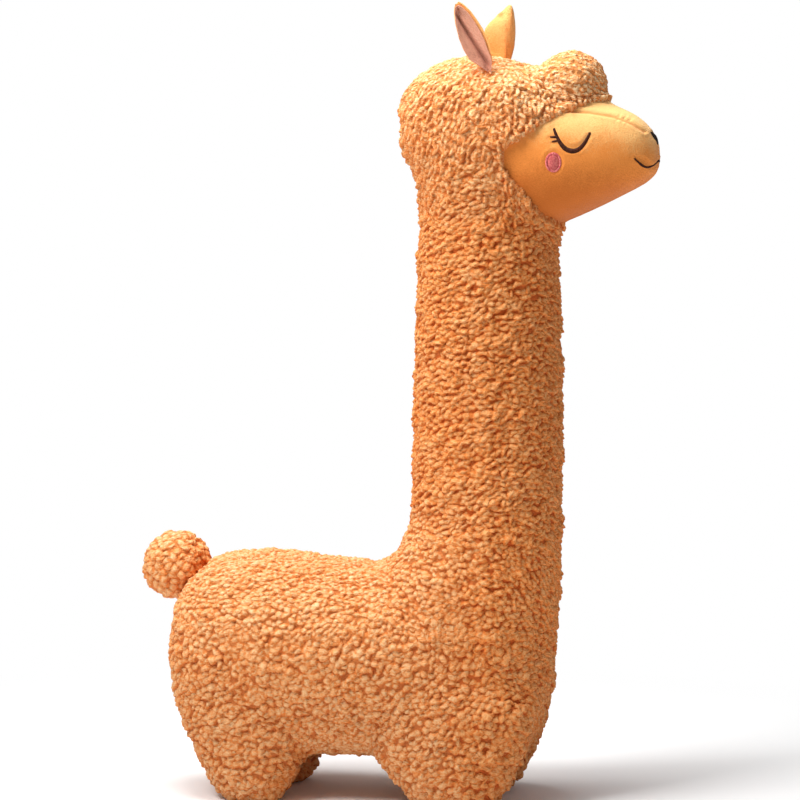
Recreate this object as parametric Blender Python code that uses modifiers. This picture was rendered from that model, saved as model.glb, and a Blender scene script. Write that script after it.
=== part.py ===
"""A giant long-necked plush alpaca, sewn from curly fleece over a fibre filling.

The animal faces +X and stands on four stubby feet, metres and +Z up. One smooth form is
blended from a trunk, a neck, a head, a muzzle, a forelock and four legs. The filling, the
fleece covers and the short plush of the face are all cut from that form, each at its own
depth, so they stay nested when a size changes.
"""

import math
from typing import NamedTuple

import bmesh
import bpy
from mathutils import Matrix, Vector

# Fabrics and clearances
FIT_GAP = 0.0003
PILE_RISE = 0.004
COVER_THICKNESS = 0.002
THREAD_LIFT = 0.0005
THREAD_THICKNESS = 0.0012

# Trunk, lying along X from the rump to the chest
TRUNK_LENGTH = 0.4950
TRUNK_WIDTH = 0.236
BACK_HEIGHT = 0.311
BELLY_HEIGHT = 0.052

# Neck, standing on the chest
NECK_DEPTH = 0.1745
NECK_WIDTH = 0.174
NECK_HEIGHT = 0.745

# Head and muzzle, measured from the neck's front and from the crown
CROWN_HEIGHT = 0.926
HEAD_HEIGHT = 0.184
HEAD_DEPTH = 0.240
HEAD_WIDTH = 0.190
HEAD_SETBACK = 0.204
MUZZLE_LENGTH = 0.205
MUZZLE_HEIGHT = 0.160
MUZZLE_WIDTH = 0.170
MUZZLE_REACH = 0.124
MUZZLE_DROP = 0.052
FORELOCK_LENGTH = 0.086
FORELOCK_HEIGHT = 0.079
FORELOCK_WIDTH = 0.124
FORELOCK_BACK = 0.110
FORELOCK_DROP = 0.029

# Legs
LEG_SPREAD = 0.124
LEG_WIDTH = 0.096
LEG_HEIGHT = 0.130
FRONT_LEG_LENGTH = 0.204
FRONT_LEG_FROM_CHEST = 0.118
HIND_LEG_LENGTH = 0.194
HIND_LEG_FROM_RUMP = 0.107

# Tail
TAIL_DIAMETER = 0.088
TAIL_HEIGHT = 0.286
TAIL_OUTREACH = 0.003

# Ears
EAR_LENGTH = 0.110
EAR_WIDTH = 0.047
EAR_CUP = 0.34
EAR_THICKNESS = 0.0022
EAR_LINING_THICKNESS = 0.0012
EAR_SPREAD = 0.066
EAR_FROM_HEAD_BACK = 0.116
EAR_SINK = 0.022

# Face cloth and its embroidery, measured from the tip of the snout
GUSSET_WIDTH = 0.052
EYE_WIDTH = 0.044
EYE_DROP = 0.020
EYE_FROM_SNOUT = 0.102
EYE_HEIGHT_IN_FACE = 0.655
EYE_THREAD = 0.0045
LASH_LENGTH = 0.010
LASH_THREAD = 0.0020
CHEEK_WIDTH = 0.019
CHEEK_HEIGHT = 0.024
CHEEK_BORDER = 0.0022
CHEEK_FROM_SNOUT = 0.122
CHEEK_HEIGHT_IN_FACE = 0.49
MOUTH_WIDTH = 0.096
MOUTH_SMILE = 0.010
MOUTH_THREAD = 0.0030
MOUTH_HEIGHT_IN_FACE = 0.525
NOSE_WIDTH = 0.026
NOSE_HEIGHT = 0.015
NOSE_HEIGHT_IN_FACE = 0.69

# Mesh fineness
FORM_GRAIN = 0.009
FORM_SMOOTHING = 6
FORM_KEEP = 0.056
FORM_RELAXING = 1
FACE_PROTECTION = 0.02
RING_POINTS = 28
SECTION_SQUARENESS = 2.35


class Section(NamedTuple):
    """One cross section of a loft, as shares of the part's own length, depth and width."""

    at: float
    low: float
    high: float
    width: float


TRUNK_SECTIONS = (
    Section(0.000, 0.32, 0.66, 0.40),
    Section(0.018, 0.22, 0.78, 0.62),
    Section(0.055, 0.09, 0.88, 0.80),
    Section(0.110, 0.02, 0.965, 0.92),
    Section(0.220, 0.00, 1.00, 1.00),
    Section(0.390, 0.00, 0.955, 1.00),
    Section(0.540, 0.00, 0.925, 0.96),
    Section(0.720, 0.00, 0.920, 0.90),
    Section(0.880, 0.05, 0.900, 0.80),
    Section(0.940, 0.15, 0.800, 0.60),
    Section(0.985, 0.34, 0.620, 0.30),
)

# Low and high are setbacks from the chest's front, as shares of the neck's depth
NECK_SECTIONS = (
    Section(0.090, 0.90, 0.22, 0.70),
    Section(0.140, 1.10, 0.12, 0.98),
    Section(0.200, 1.22, 0.07, 1.12),
    Section(0.270, 1.30, 0.04, 1.18),
    Section(0.340, 1.33, 0.01, 1.19),
    Section(0.403, 1.22, 0.00, 1.15),
    Section(0.424, 1.14, 0.00, 1.12),
    Section(0.466, 1.05, 0.00, 1.08),
    Section(0.517, 1.06, 0.00, 1.04),
    Section(0.584, 1.055, 0.00, 1.01),
    Section(0.768, 1.035, 0.01, 0.99),
    Section(0.935, 1.01, 0.035, 0.97),
    Section(1.000, 0.98, 0.060, 0.97),
)

HEAD_SECTIONS = (
    Section(0.00, 0.140, 0.74, 0.88),
    Section(0.14, 0.130, 0.80, 0.93),
    Section(0.27, 0.088, 0.86, 0.98),
    Section(0.41, 0.016, 0.90, 1.00),
    Section(0.61, 0.000, 0.93, 0.98),
    Section(0.78, 0.015, 0.90, 0.88),
    Section(0.88, 0.075, 0.80, 0.72),
    Section(0.95, 0.160, 0.66, 0.52),
    Section(1.00, 0.270, 0.55, 0.28),
)

MUZZLE_SECTIONS = (
    Section(0.000, 0.04, 0.90, 1.00),
    Section(0.250, 0.01, 0.97, 0.99),
    Section(0.475, 0.08, 1.00, 0.93),
    Section(0.665, 0.195, 0.977, 0.82),
    Section(0.810, 0.29, 0.914, 0.70),
    Section(0.905, 0.35, 0.840, 0.58),
    Section(0.962, 0.395, 0.750, 0.44),
    Section(1.000, 0.46, 0.640, 0.24),
)

# Height as a share of the leg's, ends as shares of its length, width as a share of its own
FRONT_LEG_SECTIONS = (
    Section(-0.18, 0.36, 0.62, 0.60),
    Section(0.00, 0.28, 0.70, 0.80),
    Section(0.10, 0.20, 0.77, 0.94),
    Section(0.22, 0.11, 0.83, 1.00),
    Section(0.38, 0.02, 0.88, 1.00),
    Section(0.62, 0.00, 0.96, 1.00),
    Section(1.00, 0.03, 1.00, 1.00),
)
HIND_LEG_SECTIONS = (
    Section(-0.18, 0.38, 0.66, 0.60),
    Section(0.00, 0.36, 0.72, 0.80),
    Section(0.10, 0.28, 0.78, 0.94),
    Section(0.22, 0.23, 0.82, 1.00),
    Section(0.38, 0.19, 0.86, 1.00),
    Section(0.62, 0.10, 0.93, 1.00),
    Section(1.00, 0.00, 1.00, 1.00),
)

# The face opening's edge, from the forehead round the cheek to the throat, as shares of the
# muzzle's length from its root and of its height from its foot
FACE_EDGE = (
    (0.900, 0.990),
    (0.640, 0.975),
    (0.470, 0.880),
    (0.300, 0.760),
    (0.130, 0.600),
    (0.125, 0.450),
    (0.220, 0.310),
    (0.330, 0.120),
    (0.500, 0.010),
)

# Colours as linear RGB, with roughness
FLEECE = ("curly_fleece", (0.74, 0.33, 0.115), 0.95)
FACE_PLUSH = ("short_plush", (0.80, 0.36, 0.095), 0.90)
EAR_PINK = ("ear_lining_plush", (0.52, 0.19, 0.125), 0.90)
CHEEK_PINK = ("cheek_thread", (0.72, 0.16, 0.19), 0.60)
CHEEK_PALE = ("cheek_border_thread", (0.80, 0.33, 0.27), 0.60)
DARK_THREAD = ("dark_thread", (0.030, 0.012, 0.010), 0.55)
NOSE_THREAD = ("nose_thread", (0.020, 0.016, 0.018), 0.55)
FIBRE = ("fibre_filling", (0.85, 0.85, 0.83), 1.00)

CHEST_X = TRUNK_LENGTH
HEAD_X = CHEST_X - HEAD_SETBACK
SNOUT_X = CHEST_X + MUZZLE_REACH
MUZZLE_X = SNOUT_X - MUZZLE_LENGTH
MUZZLE_Z = CROWN_HEIGHT - MUZZLE_DROP - MUZZLE_HEIGHT
FRONT_LEG_X = CHEST_X - FRONT_LEG_FROM_CHEST
HIND_LEG_X = HIND_LEG_FROM_RUMP
FAR = 2.0


def clear_scene():
    """Remove every object and mesh that the file starts with."""
    for thing in list(bpy.data.objects):
        bpy.data.objects.remove(thing, do_unlink=True)
    for mesh in list(bpy.data.meshes):
        bpy.data.meshes.remove(mesh)


def make_collection(name):
    """Return a new collection of this name in the scene."""
    collection = bpy.data.collections.new(name)
    bpy.context.scene.collection.children.link(collection)
    return collection


def make_material(finish):
    """Return the Principled material of a (name, colour, roughness) finish."""
    name, colour, roughness = finish
    material = bpy.data.materials.get(name)
    if material is None:
        material = bpy.data.materials.new(name)
        material.use_nodes = True
        shader = material.node_tree.nodes["Principled BSDF"]
        shader.inputs["Base Color"].default_value = (*colour, 1.0)
        shader.inputs["Roughness"].default_value = roughness
        shader.inputs["Metallic"].default_value = 0.0
        material.diffuse_color = (*colour, 1.0)
    return material


def add_object(name, mesh, collection, finish=None):
    """Link a mesh as an object, with its material if it has one."""
    thing = bpy.data.objects.new(name, mesh)
    collection.objects.link(thing)
    if finish is not None:
        thing.data.materials.clear()
        thing.data.materials.append(make_material(finish))
    return thing


def as_helper(thing):
    """Mark an object as a cutter or guide that is no part of the toy."""
    thing.hide_render = True
    thing.display_type = "WIRE"
    return thing


def mesh_from(bm, name):
    """Turn a bmesh into a mesh and free it."""
    mesh = bpy.data.meshes.new(name)
    bm.to_mesh(mesh)
    bm.free()
    return mesh


def evaluated_mesh(thing, name):
    """Return a new mesh with the object's modifiers applied."""
    graph = bpy.context.evaluated_depsgraph_get()
    graph.update()
    return bpy.data.meshes.new_from_object(thing.evaluated_get(graph), depsgraph=graph)


def superellipse(angle):
    """Return the unit point of a slightly squared oval at this angle."""
    power = 2.0 / SECTION_SQUARENESS
    cosine = math.cos(angle)
    sine = math.sin(angle)
    return (
        math.copysign(abs(cosine) ** power, cosine),
        math.copysign(abs(sine) ** power, sine),
    )


def loft(bm, rings):
    """Skin a list of rings of points, in order, and close both ends."""
    rows = [[bm.verts.new(point) for point in ring] for ring in rings]
    count = len(rows[0])
    for lower, upper in zip(rows, rows[1:]):
        for index in range(count):
            after = (index + 1) % count
            bm.faces.new((lower[index], lower[after], upper[after], upper[index]))
    bm.faces.new(list(reversed(rows[0])))
    bm.faces.new(rows[-1])


def oval_ring(place, low, high, half_width):
    """Return a ring's points, where place maps (across, along the oval) to space."""
    middle = (low + high) / 2.0
    half = (high - low) / 2.0
    ring = []
    for step in range(RING_POINTS):
        across, along = superellipse(2.0 * math.pi * step / RING_POINTS)
        ring.append(place(half_width * across, middle + half * along))
    return ring


def lying_loft(bm, sections, start, length, foot, height, width, inset):
    """Add a body that lies along X, with its sections as upright ovals."""
    rings = []
    for section in sections:
        x = start + length * section.at
        if section is sections[0]:
            x += inset
        if section is sections[-1]:
            x -= inset
        low = foot + height * section.low + inset
        high = foot + height * section.high - inset
        half = width * section.width / 2.0 - inset
        rings.append(oval_ring(lambda y, z, x=x: Vector((x, y, z)), low, high, half))
    loft(bm, rings)


def standing_loft(bm, levels, y, inset):
    """Add a body that stands along Z, from (height, back, front, width) levels."""
    rings = []
    for z, back, front, width in levels:
        half = width / 2.0 - inset
        rings.append(
            oval_ring(
                lambda across, along, z=z: Vector((along, y - across, z)),
                back + inset,
                front - inset,
                half,
            )
        )
    loft(bm, rings)


def add_trunk(bm):
    """Add the trunk, from the rump to the chest."""
    lying_loft(
        bm,
        TRUNK_SECTIONS,
        0.0,
        TRUNK_LENGTH,
        BELLY_HEIGHT,
        BACK_HEIGHT - BELLY_HEIGHT,
        TRUNK_WIDTH,
        PILE_RISE,
    )


def add_neck(bm):
    """Add the neck, which widens at the back into the withers."""
    levels = [
        (
            NECK_HEIGHT * section.at,
            CHEST_X - NECK_DEPTH * section.low,
            CHEST_X - NECK_DEPTH * section.high,
            NECK_WIDTH * section.width,
        )
        for section in NECK_SECTIONS
    ]
    standing_loft(bm, levels, 0.0, PILE_RISE)


def add_head(bm):
    """Add the fleece ball of the head."""
    foot = CROWN_HEIGHT - HEAD_HEIGHT
    levels = [
        (
            foot + HEAD_HEIGHT * section.at,
            HEAD_X + HEAD_DEPTH * section.low,
            HEAD_X + HEAD_DEPTH * section.high,
            HEAD_WIDTH * section.width,
        )
        for section in HEAD_SECTIONS
    ]
    standing_loft(bm, levels, 0.0, PILE_RISE)


def add_muzzle(bm):
    """Add the muzzle, which tapers to a blunt snout."""
    lying_loft(
        bm,
        MUZZLE_SECTIONS,
        MUZZLE_X,
        MUZZLE_LENGTH,
        MUZZLE_Z,
        MUZZLE_HEIGHT,
        MUZZLE_WIDTH,
        0.0,
    )


def add_forelock(bm):
    """Add the tuft that hangs over the forehead."""
    size = Vector((FORELOCK_LENGTH, FORELOCK_WIDTH, FORELOCK_HEIGHT))
    half = size / 2.0 - Vector((PILE_RISE, PILE_RISE, PILE_RISE))
    place = Vector((SNOUT_X - FORELOCK_BACK, 0.0, CROWN_HEIGHT - FORELOCK_DROP))
    matrix = Matrix.Translation(place) @ Matrix.Diagonal((*half, 1.0))
    bmesh.ops.create_uvsphere(bm, u_segments=24, v_segments=16, radius=1.0, matrix=matrix)


def add_leg(bm, sections, centre_x, length, side):
    """Add one leg, which runs on below the floor so that its sole can be cut flat."""
    start = centre_x - length / 2.0
    levels = [
        (
            LEG_HEIGHT * section.at,
            start + length * section.low,
            start + length * section.high,
            LEG_WIDTH * section.width,
        )
        for section in sections
    ]
    standing_loft(bm, levels, side * LEG_SPREAD / 2.0, PILE_RISE)


def in_face(point):
    """Return True for a point in the part of the head that the face cloth covers."""
    return point.x > MUZZLE_X and point.z > MUZZLE_Z


def make_form(helpers):
    """Blend the whole animal into one smooth, symmetric mesh."""
    bm = bmesh.new()
    add_trunk(bm)
    add_neck(bm)
    add_head(bm)
    add_muzzle(bm)
    add_forelock(bm)
    for side in (-1.0, 1.0):
        add_leg(bm, FRONT_LEG_SECTIONS, FRONT_LEG_X, FRONT_LEG_LENGTH, side)
        add_leg(bm, HIND_LEG_SECTIONS, HIND_LEG_X, HIND_LEG_LENGTH, side)
    bmesh.ops.recalc_face_normals(bm, faces=bm.faces)
    form = as_helper(add_object("form_blend", mesh_from(bm, "form_blend"), helpers))

    remesh = form.modifiers.new("blend", "REMESH")
    remesh.mode = "VOXEL"
    remesh.voxel_size = FORM_GRAIN
    smooth = form.modifiers.new("settle", "SMOOTH")
    smooth.factor = 0.5
    smooth.iterations = FORM_SMOOTHING

    halve = form.modifiers.new("match_sides", "MIRROR")
    halve.use_axis = (False, True, False)
    halve.use_bisect_axis = (False, True, False)
    halve.merge_threshold = 0.0001

    fine = as_helper(add_object("form_fine", evaluated_mesh(form, "form_fine"), helpers))
    face = fine.vertex_groups.new(name="face")
    chosen = [vertex.index for vertex in fine.data.vertices if in_face(vertex.co)]
    face.add(chosen, FACE_PROTECTION, "REPLACE")
    thin = fine.modifiers.new("thin_out", "DECIMATE")
    thin.ratio = FORM_KEEP
    thin.vertex_group = "face"
    thin.invert_vertex_group = True
    thin.vertex_group_factor = 1.0
    thin.use_symmetry = True
    thin.symmetry_axis = "Y"
    thin.use_collapse_triangulate = True
    relax = fine.modifiers.new("relax", "SMOOTH")
    relax.factor = 0.5
    relax.iterations = FORM_RELAXING
    return evaluated_mesh(fine, "form")


def box_mesh(name, low, high):
    """Return a box between two corners."""
    bm = bmesh.new()
    size = Vector(high) - Vector(low)
    middle = (Vector(high) + Vector(low)) / 2.0
    matrix = Matrix.Translation(middle) @ Matrix.Diagonal((*size, 1.0))
    bmesh.ops.create_cube(bm, size=1.0, matrix=matrix)
    return mesh_from(bm, name)


def offset_form(form, name, depth, floor, helpers):
    """Return the form moved out along its normals and cut flat at a floor height."""
    layer = as_helper(add_object(name, form.copy(), helpers))
    grow = layer.modifiers.new("offset", "DISPLACE")
    grow.strength = depth
    grow.mid_level = 0.0
    ground = add_object(name + "_floor", box_mesh(name, (-FAR, -FAR, -FAR), (FAR, FAR, floor)), helpers)
    cut(layer, as_helper(ground), "DIFFERENCE")
    return layer


def cut(thing, tool, operation):
    """Cut an object with another, by an exact Boolean."""
    boolean = thing.modifiers.new(tool.name, "BOOLEAN")
    boolean.solver = "EXACT"
    boolean.operation = operation
    boolean.object = tool
    return boolean


def prism(name, outline, half_depth, helpers):
    """Return an outline in the XZ plane, pushed out to both sides as a closed tool."""
    curve = bpy.data.curves.new(name, "CURVE")
    curve.dimensions = "2D"
    curve.fill_mode = "BOTH"
    curve.extrude = half_depth
    spline = curve.splines.new("POLY")
    spline.points.add(len(outline) - 1)
    for point, (x, z) in zip(spline.points, outline):
        point.co = (x, z, 0.0, 1.0)
    spline.use_cyclic_u = True
    drawn = bpy.data.objects.new(name + "_outline", curve)
    helpers.objects.link(drawn)
    drawn.rotation_euler = (math.pi / 2.0, 0.0, 0.0)
    bm = bmesh.new()
    bm.from_mesh(evaluated_mesh(drawn, name))
    bmesh.ops.remove_doubles(bm, verts=bm.verts, dist=0.00001)
    bmesh.ops.transform(bm, matrix=drawn.rotation_euler.to_matrix().to_4x4(), verts=bm.verts)
    bmesh.ops.recalc_face_normals(bm, faces=bm.faces)
    bpy.data.objects.remove(drawn, do_unlink=True)
    return as_helper(add_object(name, mesh_from(bm, name), helpers))


def face_edge_curve():
    """Return the face opening's edge as smooth points between the ones that shape it."""
    points = [
        Vector((MUZZLE_X + MUZZLE_LENGTH * x, MUZZLE_Z + MUZZLE_HEIGHT * z)) for x, z in FACE_EDGE
    ]
    padded = [2 * points[0] - points[1], *points, 2 * points[-1] - points[-2]]
    smooth = []
    steps = 4
    for before, start, end, after in zip(padded, padded[1:], padded[2:], padded[3:]):
        for step in range(steps):
            t = step / steps
            smooth.append(
                0.5
                * (
                    2 * start
                    + (end - before) * t
                    + (2 * before - 5 * start + 4 * end - after) * t * t
                    + (3 * start - before - 3 * end + after) * t ** 3
                )
            )
    smooth.append(points[-1])
    return smooth


def face_window(name, shift, helpers):
    """Return the tool that covers all of the face cloth, moved forward by a shift."""
    edge = [(point.x + shift, point.y) for point in face_edge_curve()]
    ahead = SNOUT_X + MUZZLE_LENGTH
    corners = [(ahead, MUZZLE_Z - MUZZLE_HEIGHT * 0.25), (ahead, edge[0][1])]
    throat = (edge[-1][0] + MUZZLE_LENGTH * 0.03, MUZZLE_Z - MUZZLE_HEIGHT * 0.25)
    return prism(name, edge + [throat] + corners, MUZZLE_WIDTH, helpers)


def half_space(name, side, start, helpers):
    """Return a box that fills one side of the animal, from a distance off the middle."""
    near = min(side * start, side * FAR)
    far = max(side * start, side * FAR)
    return as_helper(add_object(name, box_mesh(name, (-FAR, near, -FAR), (FAR, far, FAR)), helpers))


def belly_tool(name, growth, helpers):
    """Return the leaf-shaped tool that marks the underbody panel between the legs."""
    middle = (HIND_LEG_X + FRONT_LEG_X) / 2.0
    half = Vector((TRUNK_LENGTH * 0.52, LEG_SPREAD * 0.58, BELLY_HEIGHT + BACK_HEIGHT * 0.20))
    half += Vector((growth, growth, growth))
    bm = bmesh.new()
    matrix = Matrix.Translation((middle, 0.0, -half.z * 0.06)) @ Matrix.Diagonal((*half, 1.0))
    bmesh.ops.create_uvsphere(bm, u_segments=24, v_segments=16, radius=1.0, matrix=matrix)
    return as_helper(add_object(name, mesh_from(bm, name), helpers))


def gusset_tool(name, growth, helpers):
    """Return the tapering wedge that marks the nose bridge between the two face sides."""
    half = GUSSET_WIDTH / 2.0
    outline = (
        (MUZZLE_X, half + growth),
        (MUZZLE_X + MUZZLE_LENGTH * 0.60, half + growth),
        (SNOUT_X - MUZZLE_LENGTH * 0.12, half * 0.72 + growth),
        (SNOUT_X - MUZZLE_LENGTH * 0.020, growth),
    )
    foot = MUZZLE_Z + MUZZLE_HEIGHT * 0.66
    bm = bmesh.new()
    plan = list(outline) + [(x, -y) for x, y in reversed(outline[:-1])]
    if growth > 0.0:
        plan.insert(len(outline), (outline[-1][0], -growth))
    lower = [bm.verts.new((x, y, foot - growth)) for x, y in plan]
    face = bm.faces.new(lower)
    pushed = bmesh.ops.extrude_face_region(bm, geom=[face])
    top = [item for item in pushed["geom"] if isinstance(item, bmesh.types.BMVert)]
    bmesh.ops.translate(bm, vec=(0.0, 0.0, MUZZLE_HEIGHT), verts=top)
    bmesh.ops.recalc_face_normals(bm, faces=bm.faces)
    return as_helper(add_object(name, mesh_from(bm, name), helpers))


def node_from(source, name, finish, parts):
    """Start a part from the finished shape of another object."""
    return add_object(name, evaluated_mesh(source, name), parts, finish)


def make_covers(form, parts, helpers):
    """Cut the fleece panels, the face cloth and the filling from the blended form."""
    seam = FIT_GAP / 2.0
    pile = offset_form(form, "pile_outside", PILE_RISE, 0.0, helpers)
    floor = PILE_RISE + COVER_THICKNESS
    inside = offset_form(form, "cloth_inside", -COVER_THICKNESS, floor, helpers)
    cloth = offset_form(form, "cloth_outside", 0.0, 0.0, helpers)
    core = offset_form(form, "core", -COVER_THICKNESS - FIT_GAP, floor + FIT_GAP, helpers)
    cut(pile, inside, "DIFFERENCE")
    cut(cloth, inside, "DIFFERENCE")
    window = face_window("face_window", 0.0, helpers)
    window_ahead = face_window("face_window_ahead", 2.0 * FIT_GAP, helpers)
    belly = belly_tool("belly_outline", 0.0, helpers)
    belly_wide = belly_tool("belly_outline_wide", FIT_GAP, helpers)
    gusset = gusset_tool("gusset_outline", 0.0, helpers)
    gusset_wide = gusset_tool("gusset_outline_wide", FIT_GAP, helpers)

    filling = node_from(core, "filling", FIBRE, parts)
    fleece = as_helper(add_object("fleece_stock", evaluated_mesh(pile, "fleece"), helpers))
    cut(fleece, window, "DIFFERENCE")
    for name, side in (("left", 1.0), ("right", -1.0)):
        half = half_space("half_" + name, side, seam, helpers)
        panel = node_from(fleece, "fleece_side_" + name, FLEECE, parts)
        cut(panel, half, "INTERSECT")
        cut(panel, belly_wide, "DIFFERENCE")
        cheek = node_from(cloth, "face_side_" + name, FACE_PLUSH, parts)
        cut(cheek, window_ahead, "INTERSECT")
        cut(cheek, half, "INTERSECT")
        cut(cheek, gusset_wide, "DIFFERENCE")
    under = node_from(fleece, "belly_gusset", FLEECE, parts)
    cut(under, belly, "INTERSECT")
    bridge = node_from(cloth, "nose_bridge_gusset", FACE_PLUSH, parts)
    cut(bridge, window_ahead, "INTERSECT")
    cut(bridge, gusset, "INTERSECT")
    return filling


def make_tail(form, parts, helpers):
    """Add the stuffed tail ball, seated on the rump."""
    rump = offset_form(form, "rump_seat", PILE_RISE + FIT_GAP, 0.0, helpers)
    place = (-TAIL_OUTREACH, 0.0, TAIL_HEIGHT)
    outer = TAIL_DIAMETER / 2.0
    inner = outer - PILE_RISE - COVER_THICKNESS
    balls = {}
    for name, radius in (("tail_cover", outer), ("tail_hollow", inner), ("tail_filling", inner - FIT_GAP)):
        bm = bmesh.new()
        matrix = Matrix.Translation(place) @ Matrix.Rotation(math.pi / 2.0, 4, "Y")
        bmesh.ops.create_uvsphere(bm, u_segments=16, v_segments=10, radius=radius, matrix=matrix)
        balls[name] = mesh_from(bm, name)
    cover = add_object("tail_cover", balls["tail_cover"], parts, FLEECE)
    hollow = as_helper(add_object("tail_hollow", balls["tail_hollow"], helpers))
    fill = add_object("tail_filling", balls["tail_filling"], parts, FIBRE)
    cut(cover, hollow, "DIFFERENCE")
    cut(cover, rump, "DIFFERENCE")
    cut(fill, rump, "DIFFERENCE")


def ear_sheet(bm, inset, lift):
    """Add a cupped leaf in the ear's own frame, with its tip along +Z and its hollow at +Y."""
    rows = 8
    columns = 6
    grid = []
    for row in range(rows + 1):
        t = row / rows
        half = (EAR_WIDTH / 2.0) * math.sin(math.pi * (0.26 + 0.72 * t) ** 0.92) ** 0.80 - inset * 0.6
        half = max(half, 0.0012)
        line = []
        for column in range(columns + 1):
            u = 2.0 * column / columns - 1.0
            fold = EAR_CUP * EAR_WIDTH * (abs(u) ** 1.4) * (1.0 - 0.55 * t)
            point = Vector((u * half, fold + lift, (EAR_LENGTH - inset) * t))
            line.append(bm.verts.new(point))
        grid.append(line)
    for lower, upper in zip(grid, grid[1:]):
        for column in range(columns):
            bm.faces.new((lower[column], lower[column + 1], upper[column + 1], upper[column]))


def make_ear(name, matrix, seat, parts):
    """Add one ear: an outer cloth and a pink lining, sewn together and set on the head."""
    outer_bm = bmesh.new()
    ear_sheet(outer_bm, 0.0, 0.0)
    outer = add_object("ear_outer_" + name, mesh_from(outer_bm, "ear"), parts, FACE_PLUSH)
    lining_bm = bmesh.new()
    ear_sheet(lining_bm, 0.003, FIT_GAP)
    lining = add_object("ear_lining_" + name, mesh_from(lining_bm, "lining"), parts, EAR_PINK)
    for piece, thickness, offset in (
        (outer, EAR_THICKNESS, 1.0),
        (lining, EAR_LINING_THICKNESS, -1.0),
    ):
        piece.matrix_world = matrix
        solid = piece.modifiers.new("thickness", "SOLIDIFY")
        solid.thickness = thickness
        solid.offset = offset
        cut(piece, seat, "DIFFERENCE")


def make_ears(form, parts, helpers):
    """Add both ears, the right one laid further back than the left."""
    seat = offset_form(form, "ear_seat", PILE_RISE + FIT_GAP, 0.0, helpers)
    lean = {"left": (4.0, 14.0, 115.0), "right": (-21.0, 16.0, 70.0)}
    for name, side in (("left", 1.0), ("right", -1.0)):
        back, out, turn = lean[name]
        place = Vector((HEAD_X + EAR_FROM_HEAD_BACK, side * EAR_SPREAD / 2.0, CROWN_HEIGHT - EAR_SINK))
        matrix = (
            Matrix.Translation(place)
            @ Matrix.Rotation(math.radians(-side * out), 4, "X")
            @ Matrix.Rotation(math.radians(back), 4, "Y")
            @ Matrix.Rotation(math.radians(side * turn - 90.0 + side * 0.0), 4, "Z")
        )
        make_ear(name, matrix, seat, parts)


def ribbon(bm, points, widths):
    """Add a flat ribbon in the XZ plane along points, with its own width at each."""
    pairs = []
    count = len(points)
    for index, point in enumerate(points):
        before = points[max(index - 1, 0)]
        after = points[min(index + 1, count - 1)]
        along = (after - before).normalized()
        across = Vector((-along.y, along.x)) * widths[index] / 2.0
        row = [point + across * share for share in (-1.0, 0.0, 1.0)]
        pairs.append([bm.verts.new((spot.x, 0.0, spot.y)) for spot in row])
    for lower, upper in zip(pairs, pairs[1:]):
        for column in range(2):
            bm.faces.new((lower[column], lower[column + 1], upper[column + 1], upper[column]))


def face_towards(mesh, direction):
    """Turn a flat motif's faces so that they look along a direction."""
    if mesh.polygons[0].normal.dot(direction) < 0.0:
        mesh.flip_normals()


def lay_on_face(name, mesh, side, skin, finish, parts):
    """Press a flat motif onto one side of the face and give it the thread's thickness."""
    face_towards(mesh, Vector((0.0, side, 0.0)))
    motif = add_object(name, mesh, parts, finish)
    motif.location = (0.0, side * MUZZLE_WIDTH, 0.0)
    wrap = motif.modifiers.new("lay_on_cloth", "SHRINKWRAP")
    wrap.wrap_method = "PROJECT"
    wrap.use_project_y = True
    wrap.use_positive_direction = side < 0.0
    wrap.use_negative_direction = side > 0.0
    wrap.target = skin
    wrap.offset = THREAD_LIFT
    solid = motif.modifiers.new("thread", "SOLIDIFY")
    solid.thickness = THREAD_THICKNESS
    solid.offset = 1.0
    return motif


def eye_points():
    """Return the closed lid's arc, from its back corner to its front one."""
    middle = Vector((SNOUT_X - EYE_FROM_SNOUT, MUZZLE_Z + MUZZLE_HEIGHT * EYE_HEIGHT_IN_FACE))
    steps = 14
    points = []
    for step in range(steps + 1):
        t = 2.0 * step / steps - 1.0
        sag = (1.0 - abs(t) ** 2.3) * EYE_DROP
        tilt = -0.12 * EYE_WIDTH * t
        points.append(middle + Vector((t * EYE_WIDTH / 2.0, EYE_DROP / 2.0 - sag + tilt)))
    return points


def make_eye(name, side, skin, parts, helpers):
    """Add one sleeping eye: a lid arc with two short lashes at its back corner."""
    points = eye_points()
    last = len(points) - 1
    widths = [EYE_THREAD * (0.45 + 0.55 * math.sin(math.pi * i / last)) for i in range(last + 1)]
    bm = bmesh.new()
    ribbon(bm, points, widths)
    eye = lay_on_face("eye_" + name, mesh_from(bm, "eye"), side, skin, DARK_THREAD, parts)
    for number, index in enumerate((2, 3)):
        root = points[index]
        tip = root + Vector((-LASH_LENGTH, -0.0006 * index))
        steps = 4
        lash_points = [root.lerp(tip, step / steps) for step in range(steps + 1)]
        lash_widths = [LASH_THREAD * (1.0 - 0.5 * step / steps) for step in range(steps + 1)]
        bm = bmesh.new()
        ribbon(bm, lash_points, lash_widths)
        lash_name = "lash_" + name + "_" + str(number)
        lash = lay_on_face(lash_name, mesh_from(bm, lash_name), side, skin, None, helpers)
        as_helper(lash)
        cut(eye, lash, "UNION")


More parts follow.
